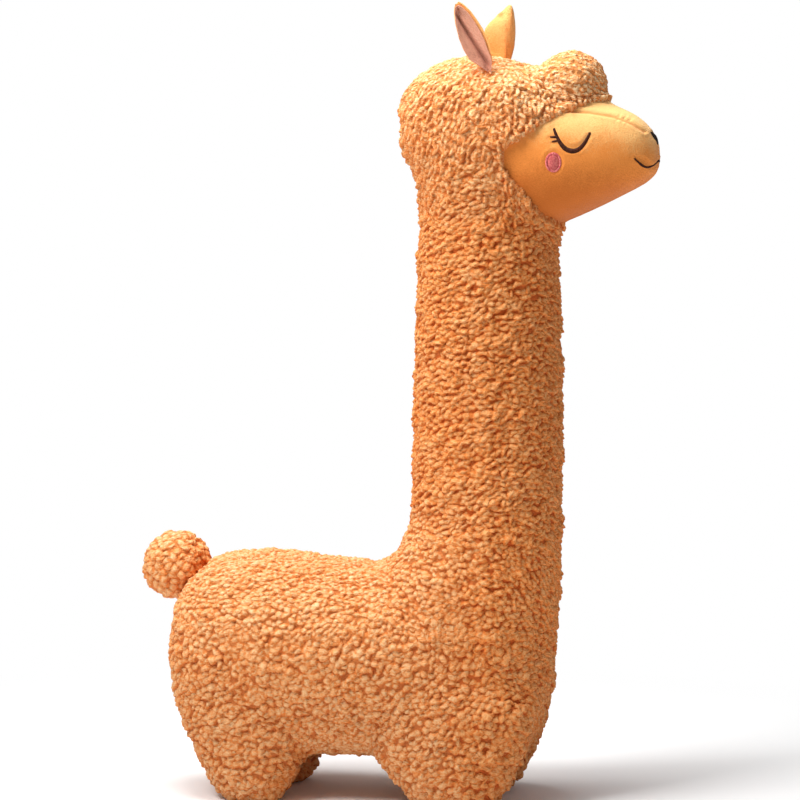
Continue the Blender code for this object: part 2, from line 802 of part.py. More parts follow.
def disc_mesh(name, centre, half_width, half_height, hole):
    """Return an oval disc in the XZ plane, or an oval ring if it has a hole's share."""
    bm = bmesh.new()
    spokes = 18
    shares = (0.0, 0.5, 1.0) if hole == 0.0 else (hole, 1.0)
    rings = []
    for share in shares:
        if share == 0.0:
            rings.append([bm.verts.new((centre.x, 0.0, centre.y))])
            continue
        ring = []
        for step in range(spokes):
            angle = 2.0 * math.pi * step / spokes
            x = centre.x + half_width * share * math.cos(angle)
            z = centre.y + half_height * share * math.sin(angle)
            ring.append(bm.verts.new((x, 0.0, z)))
        rings.append(ring)
    for inner, outer in zip(rings, rings[1:]):
        for index in range(spokes):
            after = (index + 1) % spokes
            if len(inner) == 1:
                bm.faces.new((inner[0], outer[index], outer[after]))
            else:
                bm.faces.new((inner[index], outer[index], outer[after], inner[after]))
    return mesh_from(bm, name)


def make_cheek(name, side, skin, parts):
    """Add one round pink cheek and the pale stitched border round it."""
    centre = Vector((SNOUT_X - CHEEK_FROM_SNOUT, MUZZLE_Z + MUZZLE_HEIGHT * CHEEK_HEIGHT_IN_FACE))
    half_width = CHEEK_WIDTH / 2.0
    half_height = CHEEK_HEIGHT / 2.0
    within = 1.0 - CHEEK_BORDER / half_width
    patch = disc_mesh(
        "cheek_patch",
        centre,
        half_width * within - FIT_GAP,
        half_height * within - FIT_GAP,
        0.0,
    )
    border = disc_mesh("cheek_border", centre, half_width, half_height, within)
    lay_on_face("cheek_patch_" + name, patch, side, skin, CHEEK_PINK, parts)
    lay_on_face("cheek_border_" + name, border, side, skin, CHEEK_PALE, parts)


def lay_on_snout(name, mesh, skin, finish, parts):
    """Press a flat motif onto the front of the snout, from ahead."""
    face_towards(mesh, Vector((1.0, 0.0, 0.0)))
    motif = add_object(name, mesh, parts, finish)
    motif.location = (SNOUT_X + MUZZLE_LENGTH / 2.0, 0.0, 0.0)
    wrap = motif.modifiers.new("lay_on_cloth", "SHRINKWRAP")
    wrap.wrap_method = "PROJECT"
    wrap.use_project_x = True
    wrap.use_positive_direction = False
    wrap.use_negative_direction = True
    wrap.target = skin
    wrap.offset = THREAD_LIFT
    solid = motif.modifiers.new("thread", "SOLIDIFY")
    solid.thickness = THREAD_THICKNESS
    solid.offset = 1.0
    return motif


def make_mouth(skin, parts):
    """Add the thin smile, two shallow curves of thread that meet under the nose."""
    steps = 20
    crest = MUZZLE_Z + MUZZLE_HEIGHT * MOUTH_HEIGHT_IN_FACE
    bm = bmesh.new()
    rows = []
    for step in range(steps + 1):
        t = 2.0 * step / steps - 1.0
        z = crest - MOUTH_SMILE * (0.5 - 0.5 * math.cos(2.0 * math.pi * t))
        half = MOUTH_THREAD * (0.30 + 0.20 * (1.0 - t * t))
        y = t * MOUTH_WIDTH / 2.0
        rows.append([bm.verts.new((0.0, y, z + half * share)) for share in (-1.0, 0.0, 1.0)])
    for lower, upper in zip(rows, rows[1:]):
        for column in range(2):
            bm.faces.new((lower[column], upper[column], upper[column + 1], lower[column + 1]))
    lay_on_snout("mouth", mesh_from(bm, "mouth"), skin, DARK_THREAD, parts)


def make_nose(skin, parts):
    """Add the small dark nose, wide at the top and rounded below."""
    middle = MUZZLE_Z + MUZZLE_HEIGHT * NOSE_HEIGHT_IN_FACE
    rows = 5
    columns = 6
    bm = bmesh.new()
    grid = []
    for row in range(rows + 1):
        t = row / rows
        half = (NOSE_WIDTH / 2.0) * math.sqrt(max(1.0 - (1.0 - t) ** 2 * 0.96, 0.0))
        z = middle + NOSE_HEIGHT * (t - 0.5)
        line = [bm.verts.new((0.0, half * (2.0 * c / columns - 1.0), z)) for c in range(columns + 1)]
        grid.append(line)
    for lower, upper in zip(grid, grid[1:]):
        for column in range(columns):
            bm.faces.new((lower[column], lower[column + 1], upper[column + 1], upper[column]))
    lay_on_snout("nose", mesh_from(bm, "nose"), skin, NOSE_THREAD, parts)


def centre_on_floor(collections, parts):
    """Move everything so that the toy's bottom middle is the origin."""
    graph = bpy.context.evaluated_depsgraph_get()
    graph.update()
    low = Vector((FAR, FAR, FAR))
    high = -low
    for thing in parts.objects:
        seen = thing.evaluated_get(graph)
        for vertex in seen.data.vertices:
            spot = seen.matrix_world @ vertex.co
            low = Vector(map(min, low, spot))
            high = Vector(map(max, high, spot))
    shift = Matrix.Translation(-Vector(((low.x + high.x) / 2.0, (low.y + high.y) / 2.0, low.z)))
    for collection in collections:
        for thing in collection.objects:
            thing.matrix_world = shift @ thing.matrix_world
    bpy.context.view_layer.update()


def main():
    """Build the toy."""
    clear_scene()
    parts = make_collection("plush_alpaca")
    helpers = make_collection("cutters")
    form = make_form(helpers)
    make_covers(form, parts, helpers)
    make_tail(form, parts, helpers)
    make_ears(form, parts, helpers)
    skin = offset_form(form, "face_skin", 0.0, 0.0, helpers)
    for name, side in (("left", 1.0), ("right", -1.0)):
        make_eye(name, side, skin, parts, helpers)
        make_cheek(name, side, skin, parts)
    make_mouth(skin, parts)
    make_nose(skin, parts)
    centre_on_floor((parts, helpers), parts)


main()
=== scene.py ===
"""The dressed scene of a giant long-necked plush alpaca, sewn from curly fleece.

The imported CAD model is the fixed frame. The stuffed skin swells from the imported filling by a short
cloth pass. The nubs of the fleece and the short plush of the face are raised and sewn on it, and
the satin stitches are laid on the face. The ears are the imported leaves, pinched and creased.
"""

import logging
import math
from dataclasses import dataclass
from enum import Enum

import bpy
import numpy as np
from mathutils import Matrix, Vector
from mathutils.bvhtree import BVHTree
from mathutils.kdtree import KDTree

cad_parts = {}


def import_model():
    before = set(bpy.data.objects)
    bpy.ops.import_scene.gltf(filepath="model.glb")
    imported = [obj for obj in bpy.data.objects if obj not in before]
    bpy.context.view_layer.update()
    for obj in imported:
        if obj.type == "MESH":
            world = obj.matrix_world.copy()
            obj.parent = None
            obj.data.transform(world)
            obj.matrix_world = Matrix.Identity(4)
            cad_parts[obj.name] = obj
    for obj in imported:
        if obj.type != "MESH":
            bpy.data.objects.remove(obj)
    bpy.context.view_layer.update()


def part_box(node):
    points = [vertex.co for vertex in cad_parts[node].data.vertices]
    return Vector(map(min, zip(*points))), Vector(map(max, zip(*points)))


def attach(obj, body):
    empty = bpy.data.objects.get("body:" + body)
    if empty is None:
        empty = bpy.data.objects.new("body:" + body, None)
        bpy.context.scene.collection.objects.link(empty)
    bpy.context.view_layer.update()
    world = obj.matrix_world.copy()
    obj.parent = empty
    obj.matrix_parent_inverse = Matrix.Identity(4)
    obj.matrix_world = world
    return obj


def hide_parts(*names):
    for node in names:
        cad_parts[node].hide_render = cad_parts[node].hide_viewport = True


LOG = logging.getLogger("plush_alpaca")
BODY = "root"
FACE_NODES = ("face_side_left", "face_side_right", "nose_bridge_gusset")
EMBROIDERY_NODES = ("eye_left", "eye_right", "cheek_border_left", "cheek_border_right", "mouth", "nose")
UP = np.array((0.0, 0.0, 1.0))
WELD = 0.00002


class Value:
    """A socket that carries a number, with arithmetic that adds Math nodes."""

    def __init__(self, board: "Board", socket: bpy.types.NodeSocket) -> None:
        """Wrap one output socket of a board."""
        self.board = board
        self.socket = socket

    def __add__(self, other: "Value | float") -> "Value":
        """Return self + other."""
        return self.board.maths("ADD", self, other)

    def __radd__(self, other: float) -> "Value":
        """Return other + self."""
        return self.board.maths("ADD", other, self)

    def __sub__(self, other: "Value | float") -> "Value":
        """Return self - other."""
        return self.board.maths("SUBTRACT", self, other)

    def __rsub__(self, other: float) -> "Value":
        """Return other - self."""
        return self.board.maths("SUBTRACT", other, self)

    def __mul__(self, other: "Value | float") -> "Value":
        """Return self * other."""
        return self.board.maths("MULTIPLY", self, other)

    def __rmul__(self, other: float) -> "Value":
        """Return other * self."""
        return self.board.maths("MULTIPLY", other, self)

    def __abs__(self) -> "Value":
        """Return the number without its sign."""
        return self.board.maths("ABSOLUTE", self, 0.0)

    def ridged(self, sharpness: float) -> "Value":
        """Return 1 along the middle of a noise and less on both sides of it."""
        return (1.0 - abs(self - 0.5) * sharpness).clamped()

    def clamped(self) -> "Value":
        """Return the number held between 0 and 1."""
        return self.board.maths("MINIMUM", self.board.maths("MAXIMUM", self, 0.0), 1.0)

    def ramp(self, low: float, high: float) -> "Value":
        """Return 0 below low, 1 above high and a smooth rise between.

        Args:
            low: The number that gives 0.
            high: The number that gives 1.

        Returns:
            The eased share.
        """
        node = self.board.node(
            "ShaderNodeMapRange",
            {"interpolation_type": "SMOOTHSTEP"},
            {"Value": self, "From Min": low, "From Max": high},
        )
        return Value(self.board, node.outputs["Result"])


class Board:
    """The node tree of one material, and the few moves that build it."""

    def __init__(self, name: str) -> None:
        """Start a material with its Principled shader.

        Args:
            name: The material's name.
        """
        self.material = bpy.data.materials.new(name)
        self.material.use_nodes = True
        self.tree = self.material.node_tree
        self.shader = self.tree.nodes["Principled BSDF"]

    def node(
        self, kind: str, settings: dict | None = None, links: dict | None = None
    ) -> bpy.types.Node:
        """Add one node.

        Args:
            kind: The node's type name.
            settings: Its properties, set first.
            links: The value, Value or socket of each input, by name or number.

        Returns:
            The new node.
        """
        made = self.tree.nodes.new(kind)
        for name, setting in (settings or {}).items():
            setattr(made, name, setting)
        for name, given in (links or {}).items():
            self.feed(made.inputs[name], given)
        return made

    def feed(self, socket: bpy.types.NodeSocket, given: object) -> None:
        """Link or set one input socket.

        Args:
            socket: The input.
            given: A Value, an output socket, a number, a colour or a vector.
        """
        if isinstance(given, Value):
            self.tree.links.new(given.socket, socket)
        elif isinstance(given, bpy.types.NodeSocket):
            self.tree.links.new(given, socket)
        elif isinstance(given, tuple) and socket.type == "RGBA":
            socket.default_value = (*given, 1.0)
        else:
            socket.default_value = given

    def maths(self, operation: str, first: "Value | float", second: "Value | float") -> Value:
        """Return one Math operation on two numbers."""
        made = self.node("ShaderNodeMath", {"operation": operation}, {0: first, 1: second})
        return Value(self, made.outputs[0])

    def coordinates(self) -> bpy.types.NodeSocket:
        """Return the piece's Object coordinates."""
        return self.node("ShaderNodeTexCoord").outputs["Object"]

    def axis(self, name: str) -> Value:
        """Return one axis of the Object coordinates."""
        split = self.node("ShaderNodeSeparateXYZ", None, {"Vector": self.coordinates()})
        return Value(self, split.outputs[name])

    def attribute(self, name: str, output: str) -> bpy.types.NodeSocket:
        """Return one output of a mesh attribute."""
        return self.node("ShaderNodeAttribute", {"attribute_name": name}).outputs[output]

    def place(
        self, scale: tuple = (1.0, 1.0, 1.0), turn: tuple = (0.0, 0.0, 0.0)
    ) -> bpy.types.NodeSocket:
        """Return Object coordinates, stretched and turned by a Mapping node."""
        links = {"Vector": self.coordinates(), "Scale": scale, "Rotation": turn}
        return self.node("ShaderNodeMapping", None, links).outputs["Vector"]

    def noise(self, vector: bpy.types.NodeSocket, scale: float, detail: float) -> Value:
        """Return a soft noise between about 0.3 and 0.7."""
        links = {"Vector": vector, "Scale": scale, "Detail": detail}
        return Value(self, self.node("ShaderNodeTexNoise", None, links).outputs["Fac"])

    def blend(
        self, share: "Value | float", low: object, high: object, way: str = "MIX"
    ) -> bpy.types.NodeSocket:
        """Return two colours mixed.

        Args:
            share: How much of the second colour there is.
            low: The first colour, as a tuple or socket.
            high: The second colour, as a tuple or socket.
            way: The Mix node's blend type.

        Returns:
            The colour socket.
        """
        settings = {"data_type": "RGBA", "blend_type": way}
        return self.node("ShaderNodeMix", settings, {0: share, 6: low, 7: high}).outputs[2]

    def bump(self, height: Value, strength: float, distance: float) -> None:
        """Feed a height into the shader's Normal through a Bump node."""
        links = {"Strength": strength, "Distance": distance, "Height": height}
        self.surface(Normal=self.node("ShaderNodeBump", None, links).outputs["Normal"])

    def surface(self, **given: object) -> None:
        """Set or link the shader's own sockets, with spaces written as underscores."""
        for name, thing in given.items():
            self.feed(self.shader.inputs[name.replace("_", " ")], thing)


@dataclass(frozen=True)
class FleeceFinish:
    """Curly fleece: crimped fibre over soft nubs, deeper orange at their roots (partly the fibre's own
    tone, partly painted shade), with painted highlights on the fibre crests and the nub tops, and painted
    shade that darkens it towards the feet.
    """

    name: str = "curly_fleece"
    deep_root: tuple = (0.57, 0.100, 0.012)
    pale_root: tuple = (0.93, 0.380, 0.115)
    middle: tuple = (0.78, 0.195, 0.029)
    deep_tip: tuple = (0.83, 0.238, 0.043)
    pale_tip: tuple = (0.93, 0.410, 0.135)
    # painted highlight colours of the fibre crests, deep and pale
    deep_fibre_highlight: tuple = (0.92, 0.44, 0.160)
    pale_fibre_highlight: tuple = (0.98, 0.73, 0.430)
    painted_low_shade: tuple = (0.79, 0.79, 0.80)
    low_shade_foot: float = 0.01
    low_shade_top: float = 0.31
    tint_change: float = 0.30
    run: tuple = (1.0, 1.0, 1.9)
    patch_scale: float = 22.0
    crimp_scale: float = 150.0
    strand_scale: float = 400.0
    relief: float = 0.0020

    def make(self) -> bpy.types.Material:
        """Make the material, which reads the cloth's own "pile" attribute.

        Returns:
            The material.
        """
        board = Board(self.name)
        pile = {"Color": board.attribute("pile", "Color")}
        parts = board.node("ShaderNodeSeparateColor", None, pile).outputs
        height, tint, pale = (Value(board, parts[part]) for part in ("Red", "Green", "Blue"))
        paleness = (pale + self.tint_change * (tint - 0.5)).clamped()
        run = board.place(self.run)
        patches = board.noise(board.place(), self.patch_scale, 2.0)
        crimp = board.noise(run, self.crimp_scale, 1.0).ridged(5.0)
        strand = board.noise(run, self.strand_scale, 1.0).ridged(4.0)
        fibre = 0.65 * crimp + 0.35 * strand
        # deeper colour at the nubs' roots: partly the fibre's own tone, partly painted shade in the
        # crevices between nubs
        root = board.blend(paleness, self.deep_root, self.pale_root)
        tip = board.blend(paleness, self.deep_tip, self.pale_tip)
        # painted highlight: pale colour on the fibre crests and on the tops of the nubs
        painted_highlight = board.blend(paleness, self.deep_fibre_highlight, self.pale_fibre_highlight)
        lower = board.blend(height.ramp(0.02, 0.60), root, self.middle)
        upper = board.blend((height + 0.5 * (fibre - 0.5)).ramp(0.20, 0.95), lower, tip)
        share = patches.ramp(0.38, 0.68) * 0.12 + fibre.ramp(0.40, 0.95) * 0.65
        # painted highlight on the tops of the nubs
        share = share + height.ramp(0.75, 1.1) * 0.40
        warm = board.blend(share.clamped(), upper, painted_highlight)
        shaded = board.blend(height.ramp(0.25, 0.90), upper, warm)
        # painted shade: darker towards the feet, where less of the light from above falls
        painted_low_shade = 1.0 - board.axis("Z").ramp(self.low_shade_foot, self.low_shade_top)
        shaded = board.blend(painted_low_shade, shaded, board.blend(1.0, shaded, self.painted_low_shade, "MULTIPLY"))
        board.surface(Base_Color=shaded, Roughness=0.75, Specular_IOR_Level=0.22)
        board.bump(0.7 * fibre + 0.8 * height, 1.0, self.relief)
        return board.material


@dataclass(frozen=True)
class ShortPlushFinish:
    """Short dense plush, with painted light that grows with height and towards the muzzle, and painted
    shade in its seams and folds.
    """

    name: str = "short_plush"
    deep: tuple = (0.64, 0.165, 0.022)
    middle: tuple = (0.93, 0.300, 0.054)
    light: tuple = (0.98, 0.57, 0.205)
    low: float = 0.735
    high: float = 0.877
    seam_shade_share: float = 0.55
    # painted light: the rise leans towards the muzzle by this slope about this pivot
    slope: float = 0.10
    pivot: float = 0.20
    brushed_scale: float = 38.0
    nap_scale: float = 520.0
    weave_scale: float = 210.0
    relief: float = 0.0013

    def make(self) -> bpy.types.Material:
        """Make the material, with painted light that grows from low to high by its own height.

        Returns:
            The material.
        """
        board = Board(self.name)
        # painted light: paler with height and towards the muzzle, where the light from above falls
        up = board.axis("Z") + self.slope * (board.axis("X") - self.pivot)
        brushed = board.noise(board.place(), self.brushed_scale, 3.0)
        nap = board.noise(board.place((1.0, 1.0, 1.8), (0.0, 0.5, 0.0)), self.nap_scale, 3.0)
        level = up.ramp(self.low, self.high) + 0.32 * (brushed - 0.5) + 0.55 * (nap - 0.5)
        lower = board.blend(level.ramp(0.0, 0.52), self.deep, self.middle)
        shade = board.blend(level.ramp(0.48, 1.0), lower, self.light)
        # painted shade: the seams of the face and the folds of the ears are coloured deep
        sewn = Value(board, board.attribute("groove_and_painted_shade", "Fac")).ramp(0.0, 1.0)
        shade = board.blend(sewn * self.seam_shade_share, shade, self.deep)
        board.surface(Base_Color=shade, Roughness=0.85, Specular_IOR_Level=0.25)
        board.surface(Sheen_Weight=0.15, Sheen_Roughness=0.4)
        board.bump(nap + 0.4 * board.noise(board.place(), self.weave_scale, 2.0), 0.75, self.relief)
        return board.material


@dataclass(frozen=True)
class FibreFinish:
    """White hollow fibre, with the tangle of its strands."""

    pale: tuple = (0.86, 0.86, 0.84)
    shade: tuple = (0.70, 0.70, 0.68)
    relief: float = 0.004

    def make(self) -> bpy.types.Material:
        """Make the material of the filling.

        Returns:
            The material.
        """
        board = Board("fibre_filling")
        tangle = board.noise(board.place(), 160.0, 5.0)
        colour = board.blend(tangle.ramp(0.35, 0.65), self.shade, self.pale)
        board.surface(Base_Color=colour, Roughness=0.95)
        board.bump(tangle, 0.8, self.relief)
        return board.material


@dataclass(frozen=True)
class ThreadFinish:
    """Embroidery thread: a soft lustre, with small changes from stitch to stitch."""

    name: str
    dark: tuple
    light: tuple
    gloss: float = 0.45
    relief: float = 0.0002

    def make(self) -> bpy.types.Material:
        """Make the thread's material.

        Returns:
            The material.
        """
        board = Board(self.name)
        spread = board.noise(board.place(), 420.0, 2.0)
        colour = board.blend(spread.ramp(0.35, 0.65), self.dark, self.light)
        board.surface(Base_Color=colour, Roughness=self.gloss, Specular_IOR_Level=0.2)
        board.bump(board.noise(board.place(), 2600.0, 1.0), 0.3, self.relief)
        return board.material


@dataclass(frozen=True)
class FloorFinish:
    """A pale floor that keeps the toy's shadow and fades into a white studio."""

    colour: tuple = (0.97, 0.97, 0.97)
    glow: tuple = (1.0, 1.0, 1.0)
    near: float = 0.40
    far: float = 1.20

    def make(self) -> bpy.types.Material:
        """Make the floor's material.

        Returns:
            The material.
        """
        board = Board("studio_floor")
        length = {"operation": "LENGTH"}
        reach = board.node("ShaderNodeVectorMath", length, {0: board.coordinates()}).outputs["Value"]
        rays = board.node("ShaderNodeLightPath").outputs
        seen = Value(board, rays["Is Camera Ray"]) + Value(board, rays["Is Glossy Ray"])
        seen = (seen + Value(board, rays["Is Transmission Ray"])).clamped()
        away = Value(board, reach).ramp(self.near, self.far) * seen
        board.surface(Base_Color=self.colour, Roughness=0.9, Specular_IOR_Level=0.1)
        glow = board.node("ShaderNodeEmission", None, {"Color": self.glow, "Strength": 1.0})
        shaders = {0: away, 1: board.shader.outputs["BSDF"], 2: glow.outputs["Emission"]}
        mixed = board.node("ShaderNodeMixShader", None, shaders).outputs["Shader"]
        board.feed(board.tree.nodes["Material Output"].inputs["Surface"], mixed)
        return board.material


def deselect() -> None:
    """Deselect every object, leaving edit mode first."""
    if bpy.context.object is not None and bpy.context.object.mode != "OBJECT":
        bpy.ops.object.mode_set(mode="OBJECT")
    bpy.ops.object.select_all(action="DESELECT")


def choose(thing: bpy.types.Object) -> None:
    """Make one object the only selected one, and the active one.

    Args:
        thing: The object.
    """
    deselect()
    thing.select_set(True)
    bpy.context.view_layer.objects.active = thing


def apply_modifiers(thing: bpy.types.Object) -> None:
    """Apply every modifier of an object, in order.

    Args:
        thing: The object.
    """
    choose(thing)
    for modifier in list(thing.modifiers):
        bpy.ops.object.modifier_apply(modifier=modifier.name)


def subdivide(thing: bpy.types.Object, levels: int = 2) -> None:
    """Refine an object with a Subdivision Surface.

    Args:
        thing: The object.
        levels: How many times each face is divided.
    """
    fine = thing.modifiers.new("fine", "SUBSURF")
    fine.levels = levels
    fine.render_levels = levels
    apply_modifiers(thing)


def settle(thing: bpy.types.Object, passes: int) -> None:
    """Even out an object's points with a Smooth modifier.

    Args:
        thing: The object.
        passes: How many times its points move halfway to their neighbours.
    """
    smooth = thing.modifiers.new("settle", "SMOOTH")
    smooth.factor = 0.5
    smooth.iterations = passes
    apply_modifiers(thing)


def frame_node(node: str) -> bpy.types.Object:
    """Return the object of a CAD node."""
    return bpy.data.objects[node]


def linked(name: str, mesh: bpy.types.Mesh) -> bpy.types.Object:
    """Return a new object of a mesh, linked to the scene.

    Args:
        name: The object's name.
        mesh: Its mesh.

    Returns:
        The object.
    """
    thing = bpy.data.objects.new(name, mesh)
    bpy.context.scene.collection.objects.link(thing)
    return thing


def merged_copy(node: str, name: str) -> bpy.types.Object:
    """Return a copy of a CAD node with its loose triangles joined.

    Args:
        node: The CAD node's name.
        name: The name of the copy.

    Returns:
        The copy, as a new object with its own mesh.
    """
    copy = linked(name, frame_node(node).data.copy())
    copy.data.materials.clear()
    choose(copy)
    bpy.ops.object.mode_set(mode="EDIT")
    bpy.ops.mesh.select_all(action="SELECT")
    bpy.ops.mesh.remove_doubles(threshold=WELD)
    bpy.ops.object.mode_set(mode="OBJECT")
    return copy


def rows_of(items: bpy.types.bpy_prop_collection, field: str) -> np.ndarray:
    """Read one vector of each point of a mesh.

    Args:
        items: The points, or their normals.
        field: The vector's name there.

    Returns:
        Rows of x, y and z.
    """
    flat = np.empty(len(items) * 3, dtype=np.float32)
    items.foreach_get(field, flat)
    return flat.reshape(-1, 3).astype(np.float64)


def points_of(mesh: bpy.types.Mesh) -> np.ndarray:
    """Return a mesh's points as rows of x, y and z."""
    return rows_of(mesh.vertices, "co")


def normals_of(mesh: bpy.types.Mesh) -> np.ndarray:
    """Return a mesh's point normals as rows."""
    return rows_of(mesh.vertex_normals, "vector")


def triangles_of(mesh: bpy.types.Mesh) -> np.ndarray:
    """Read a mesh's triangles.

    Args:
        mesh: The mesh.

    Returns:
        Rows of three point numbers.
    """
    mesh.calc_loop_triangles()
    flat = np.empty(len(mesh.loop_triangles) * 3, dtype=np.int32)
    mesh.loop_triangles.foreach_get("vertices", flat)
    return flat.reshape(-1, 3)


def move_points(mesh: bpy.types.Mesh, points: np.ndarray) -> None:
    """Write rows of x, y and z back to a mesh."""
    mesh.vertices.foreach_set("co", points.astype(np.float32).ravel())
    mesh.update()


def store(mesh: bpy.types.Mesh, name: str, values: np.ndarray) -> None:
    """Store one number or one colour a point as an attribute of a mesh.

    Args:
        mesh: The mesh.
        name: The attribute's name.
        values: The numbers, or rows of four.
    """
    kind, field = ("FLOAT", "value") if values.ndim == 1 else ("FLOAT_COLOR", "color")
    layer = mesh.attributes.new(name, kind, "POINT")
    layer.data.foreach_set(field, values.astype(np.float32).ravel())


def take(mesh: bpy.types.Mesh, name: str) -> np.ndarray:
    """Read an attribute of numbers and take it off the mesh.

    Args:
        mesh: The mesh.
        name: The attribute's name.

    Returns:
        One number a point.
    """
    values = np.empty(len(mesh.vertices), dtype=np.float32)
    mesh.attributes[name].data.foreach_get("value", values)
    mesh.attributes.remove(mesh.attributes[name])
    return values


def unit(rows: np.ndarray) -> np.ndarray:
    """Return rows of vectors, each at length 1."""
    return rows / np.maximum(np.linalg.norm(rows, axis=1, keepdims=True), 1e-12)


def eased(values: np.ndarray, low: float, high: float) -> np.ndarray:
    """Return 0 below low, 1 above high and a smooth rise between."""
    share = np.clip((values - low) / (high - low), 0.0, 1.0)
    return share * share * (3.0 - 2.0 * share)


def hump(values: np.ndarray, width: float) -> np.ndarray:
    """Return 1 at zero and a soft fall to 0 on both sides, about as wide as given."""
    return np.exp(-((values / width) ** 2))


def distance_to_path(points: np.ndarray, path: np.ndarray) -> tuple[np.ndarray, np.ndarray]:
    """Return how far along a flat path each point lies, and how far from it.

    Args:
        points: Rows of two coordinates.
        path: The path's corners, as rows of two.

    Returns:
        The distance along the path and the distance from it, one number a point.
    """
    along = np.zeros(len(points))
    away = np.full(len(points), 1.0)
    passed = 0.0
    for start, end in zip(path[:-1], path[1:]):
        stretch = float(np.linalg.norm(end - start))
        heading = (end - start) / stretch
        run = np.clip((points - start) @ heading, 0.0, stretch)
        gap = np.linalg.norm(points - start - run[:, None] * heading, axis=1)
        nearer = gap < away
        away[nearer] = gap[nearer]
        along[nearer] = passed + run[nearer]
        passed += stretch
    return along, away


def mesh_of(name: str, points: np.ndarray, triangles: np.ndarray) -> bpy.types.Object:
    """Make a smooth object from arrays.

    Args:
        name: Its name.
        points: Rows of x, y and z.
        triangles: Rows of three point numbers.

    Returns:
        The object.
    """
    corners = len(triangles) * 3
    mesh = bpy.data.meshes.new(name)
    mesh.vertices.add(len(points))
    mesh.vertices.foreach_set("co", points.astype(np.float32).ravel())
    mesh.loops.add(corners)
    mesh.loops.foreach_set("vertex_index", triangles.astype(np.int32).ravel())
    mesh.polygons.add(len(triangles))
    mesh.polygons.foreach_set("loop_start", np.arange(0, corners, 3, dtype=np.int32))
    mesh.update(calc_edges=True)
    mesh.validate()
    mesh.shade_smooth()
    return linked(name, mesh)


def surface_of(thing: bpy.types.Object) -> BVHTree:
    """Return an object's mesh as a tree that finds the nearest place on it."""
    faces = [tuple(face.vertices) for face in thing.data.polygons]
    return BVHTree.FromPolygons([vertex.co[:] for vertex in thing.data.vertices], faces)


def surface_of_node(node: str) -> BVHTree:
    """Read the surface of a CAD node.

    Args:
        node: The node's name.

    Returns:
        The tree that finds the nearest place on it.
    """
    guide = merged_copy(node, "guide_" + node)
    tree = surface_of(guide)
    bpy.data.objects.remove(guide, do_unlink=True)
    return tree


def distance_to(tree: BVHTree, points: np.ndarray, reach: float) -> np.ndarray:
    """Measure how far points are from a surface.

    Args:
        tree: The surface.
        points: Rows of x, y and z.
        reach: The number given for points that are further than this.

    Returns:
        One distance a point.
    """
    found = np.full(len(points), reach)
    for number, point in enumerate(points):
        hit = tree.find_nearest(point, reach)
        if hit[3] is not None:
            found[number] = hit[3]
    return found


def seen_as(thing: bpy.types.Object, material: bpy.types.Material, slot: str, *nodes: str) -> None:
    """Finish a piece: its material, its body and the nodes that it replaces.

    Args:
        thing: The piece.
        material: What it is made of.
        slot: Not used.
        *nodes: The CAD nodes that it stands for.
    """
    thing.data.materials.clear()
    thing.data.materials.append(material)
    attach(thing, BODY)
    if nodes:
        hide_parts(*nodes)
    LOG.info("%s: %d triangles", thing.name, len(triangles_of(thing.data)))


class Zone(Enum):
    """Where a nub stands, which sets its shape and its lie."""

    TRUNK = "trunk"
    BACK = "back"
    NECK = "neck"
    HEAD = "head"
    FORELOCK = "forelock"
    TAIL = "tail"


@dataclass
class Sprouts:
    """Places on the cloth where nubs stand, the way each faces, and where the unswollen skin was."""

    points: np.ndarray
    normals: np.ndarray
    rest: np.ndarray

    def joined(self, other: "Sprouts") -> "Sprouts":
        """Put two sets of places together.

        Args:
            other: The other set.

        Returns:
            These places and then the others.
        """
        return Sprouts(
            np.concatenate([self.points, other.points]),
            np.concatenate([self.normals, other.normals]),
            np.concatenate([self.rest, other.rest]),
        )


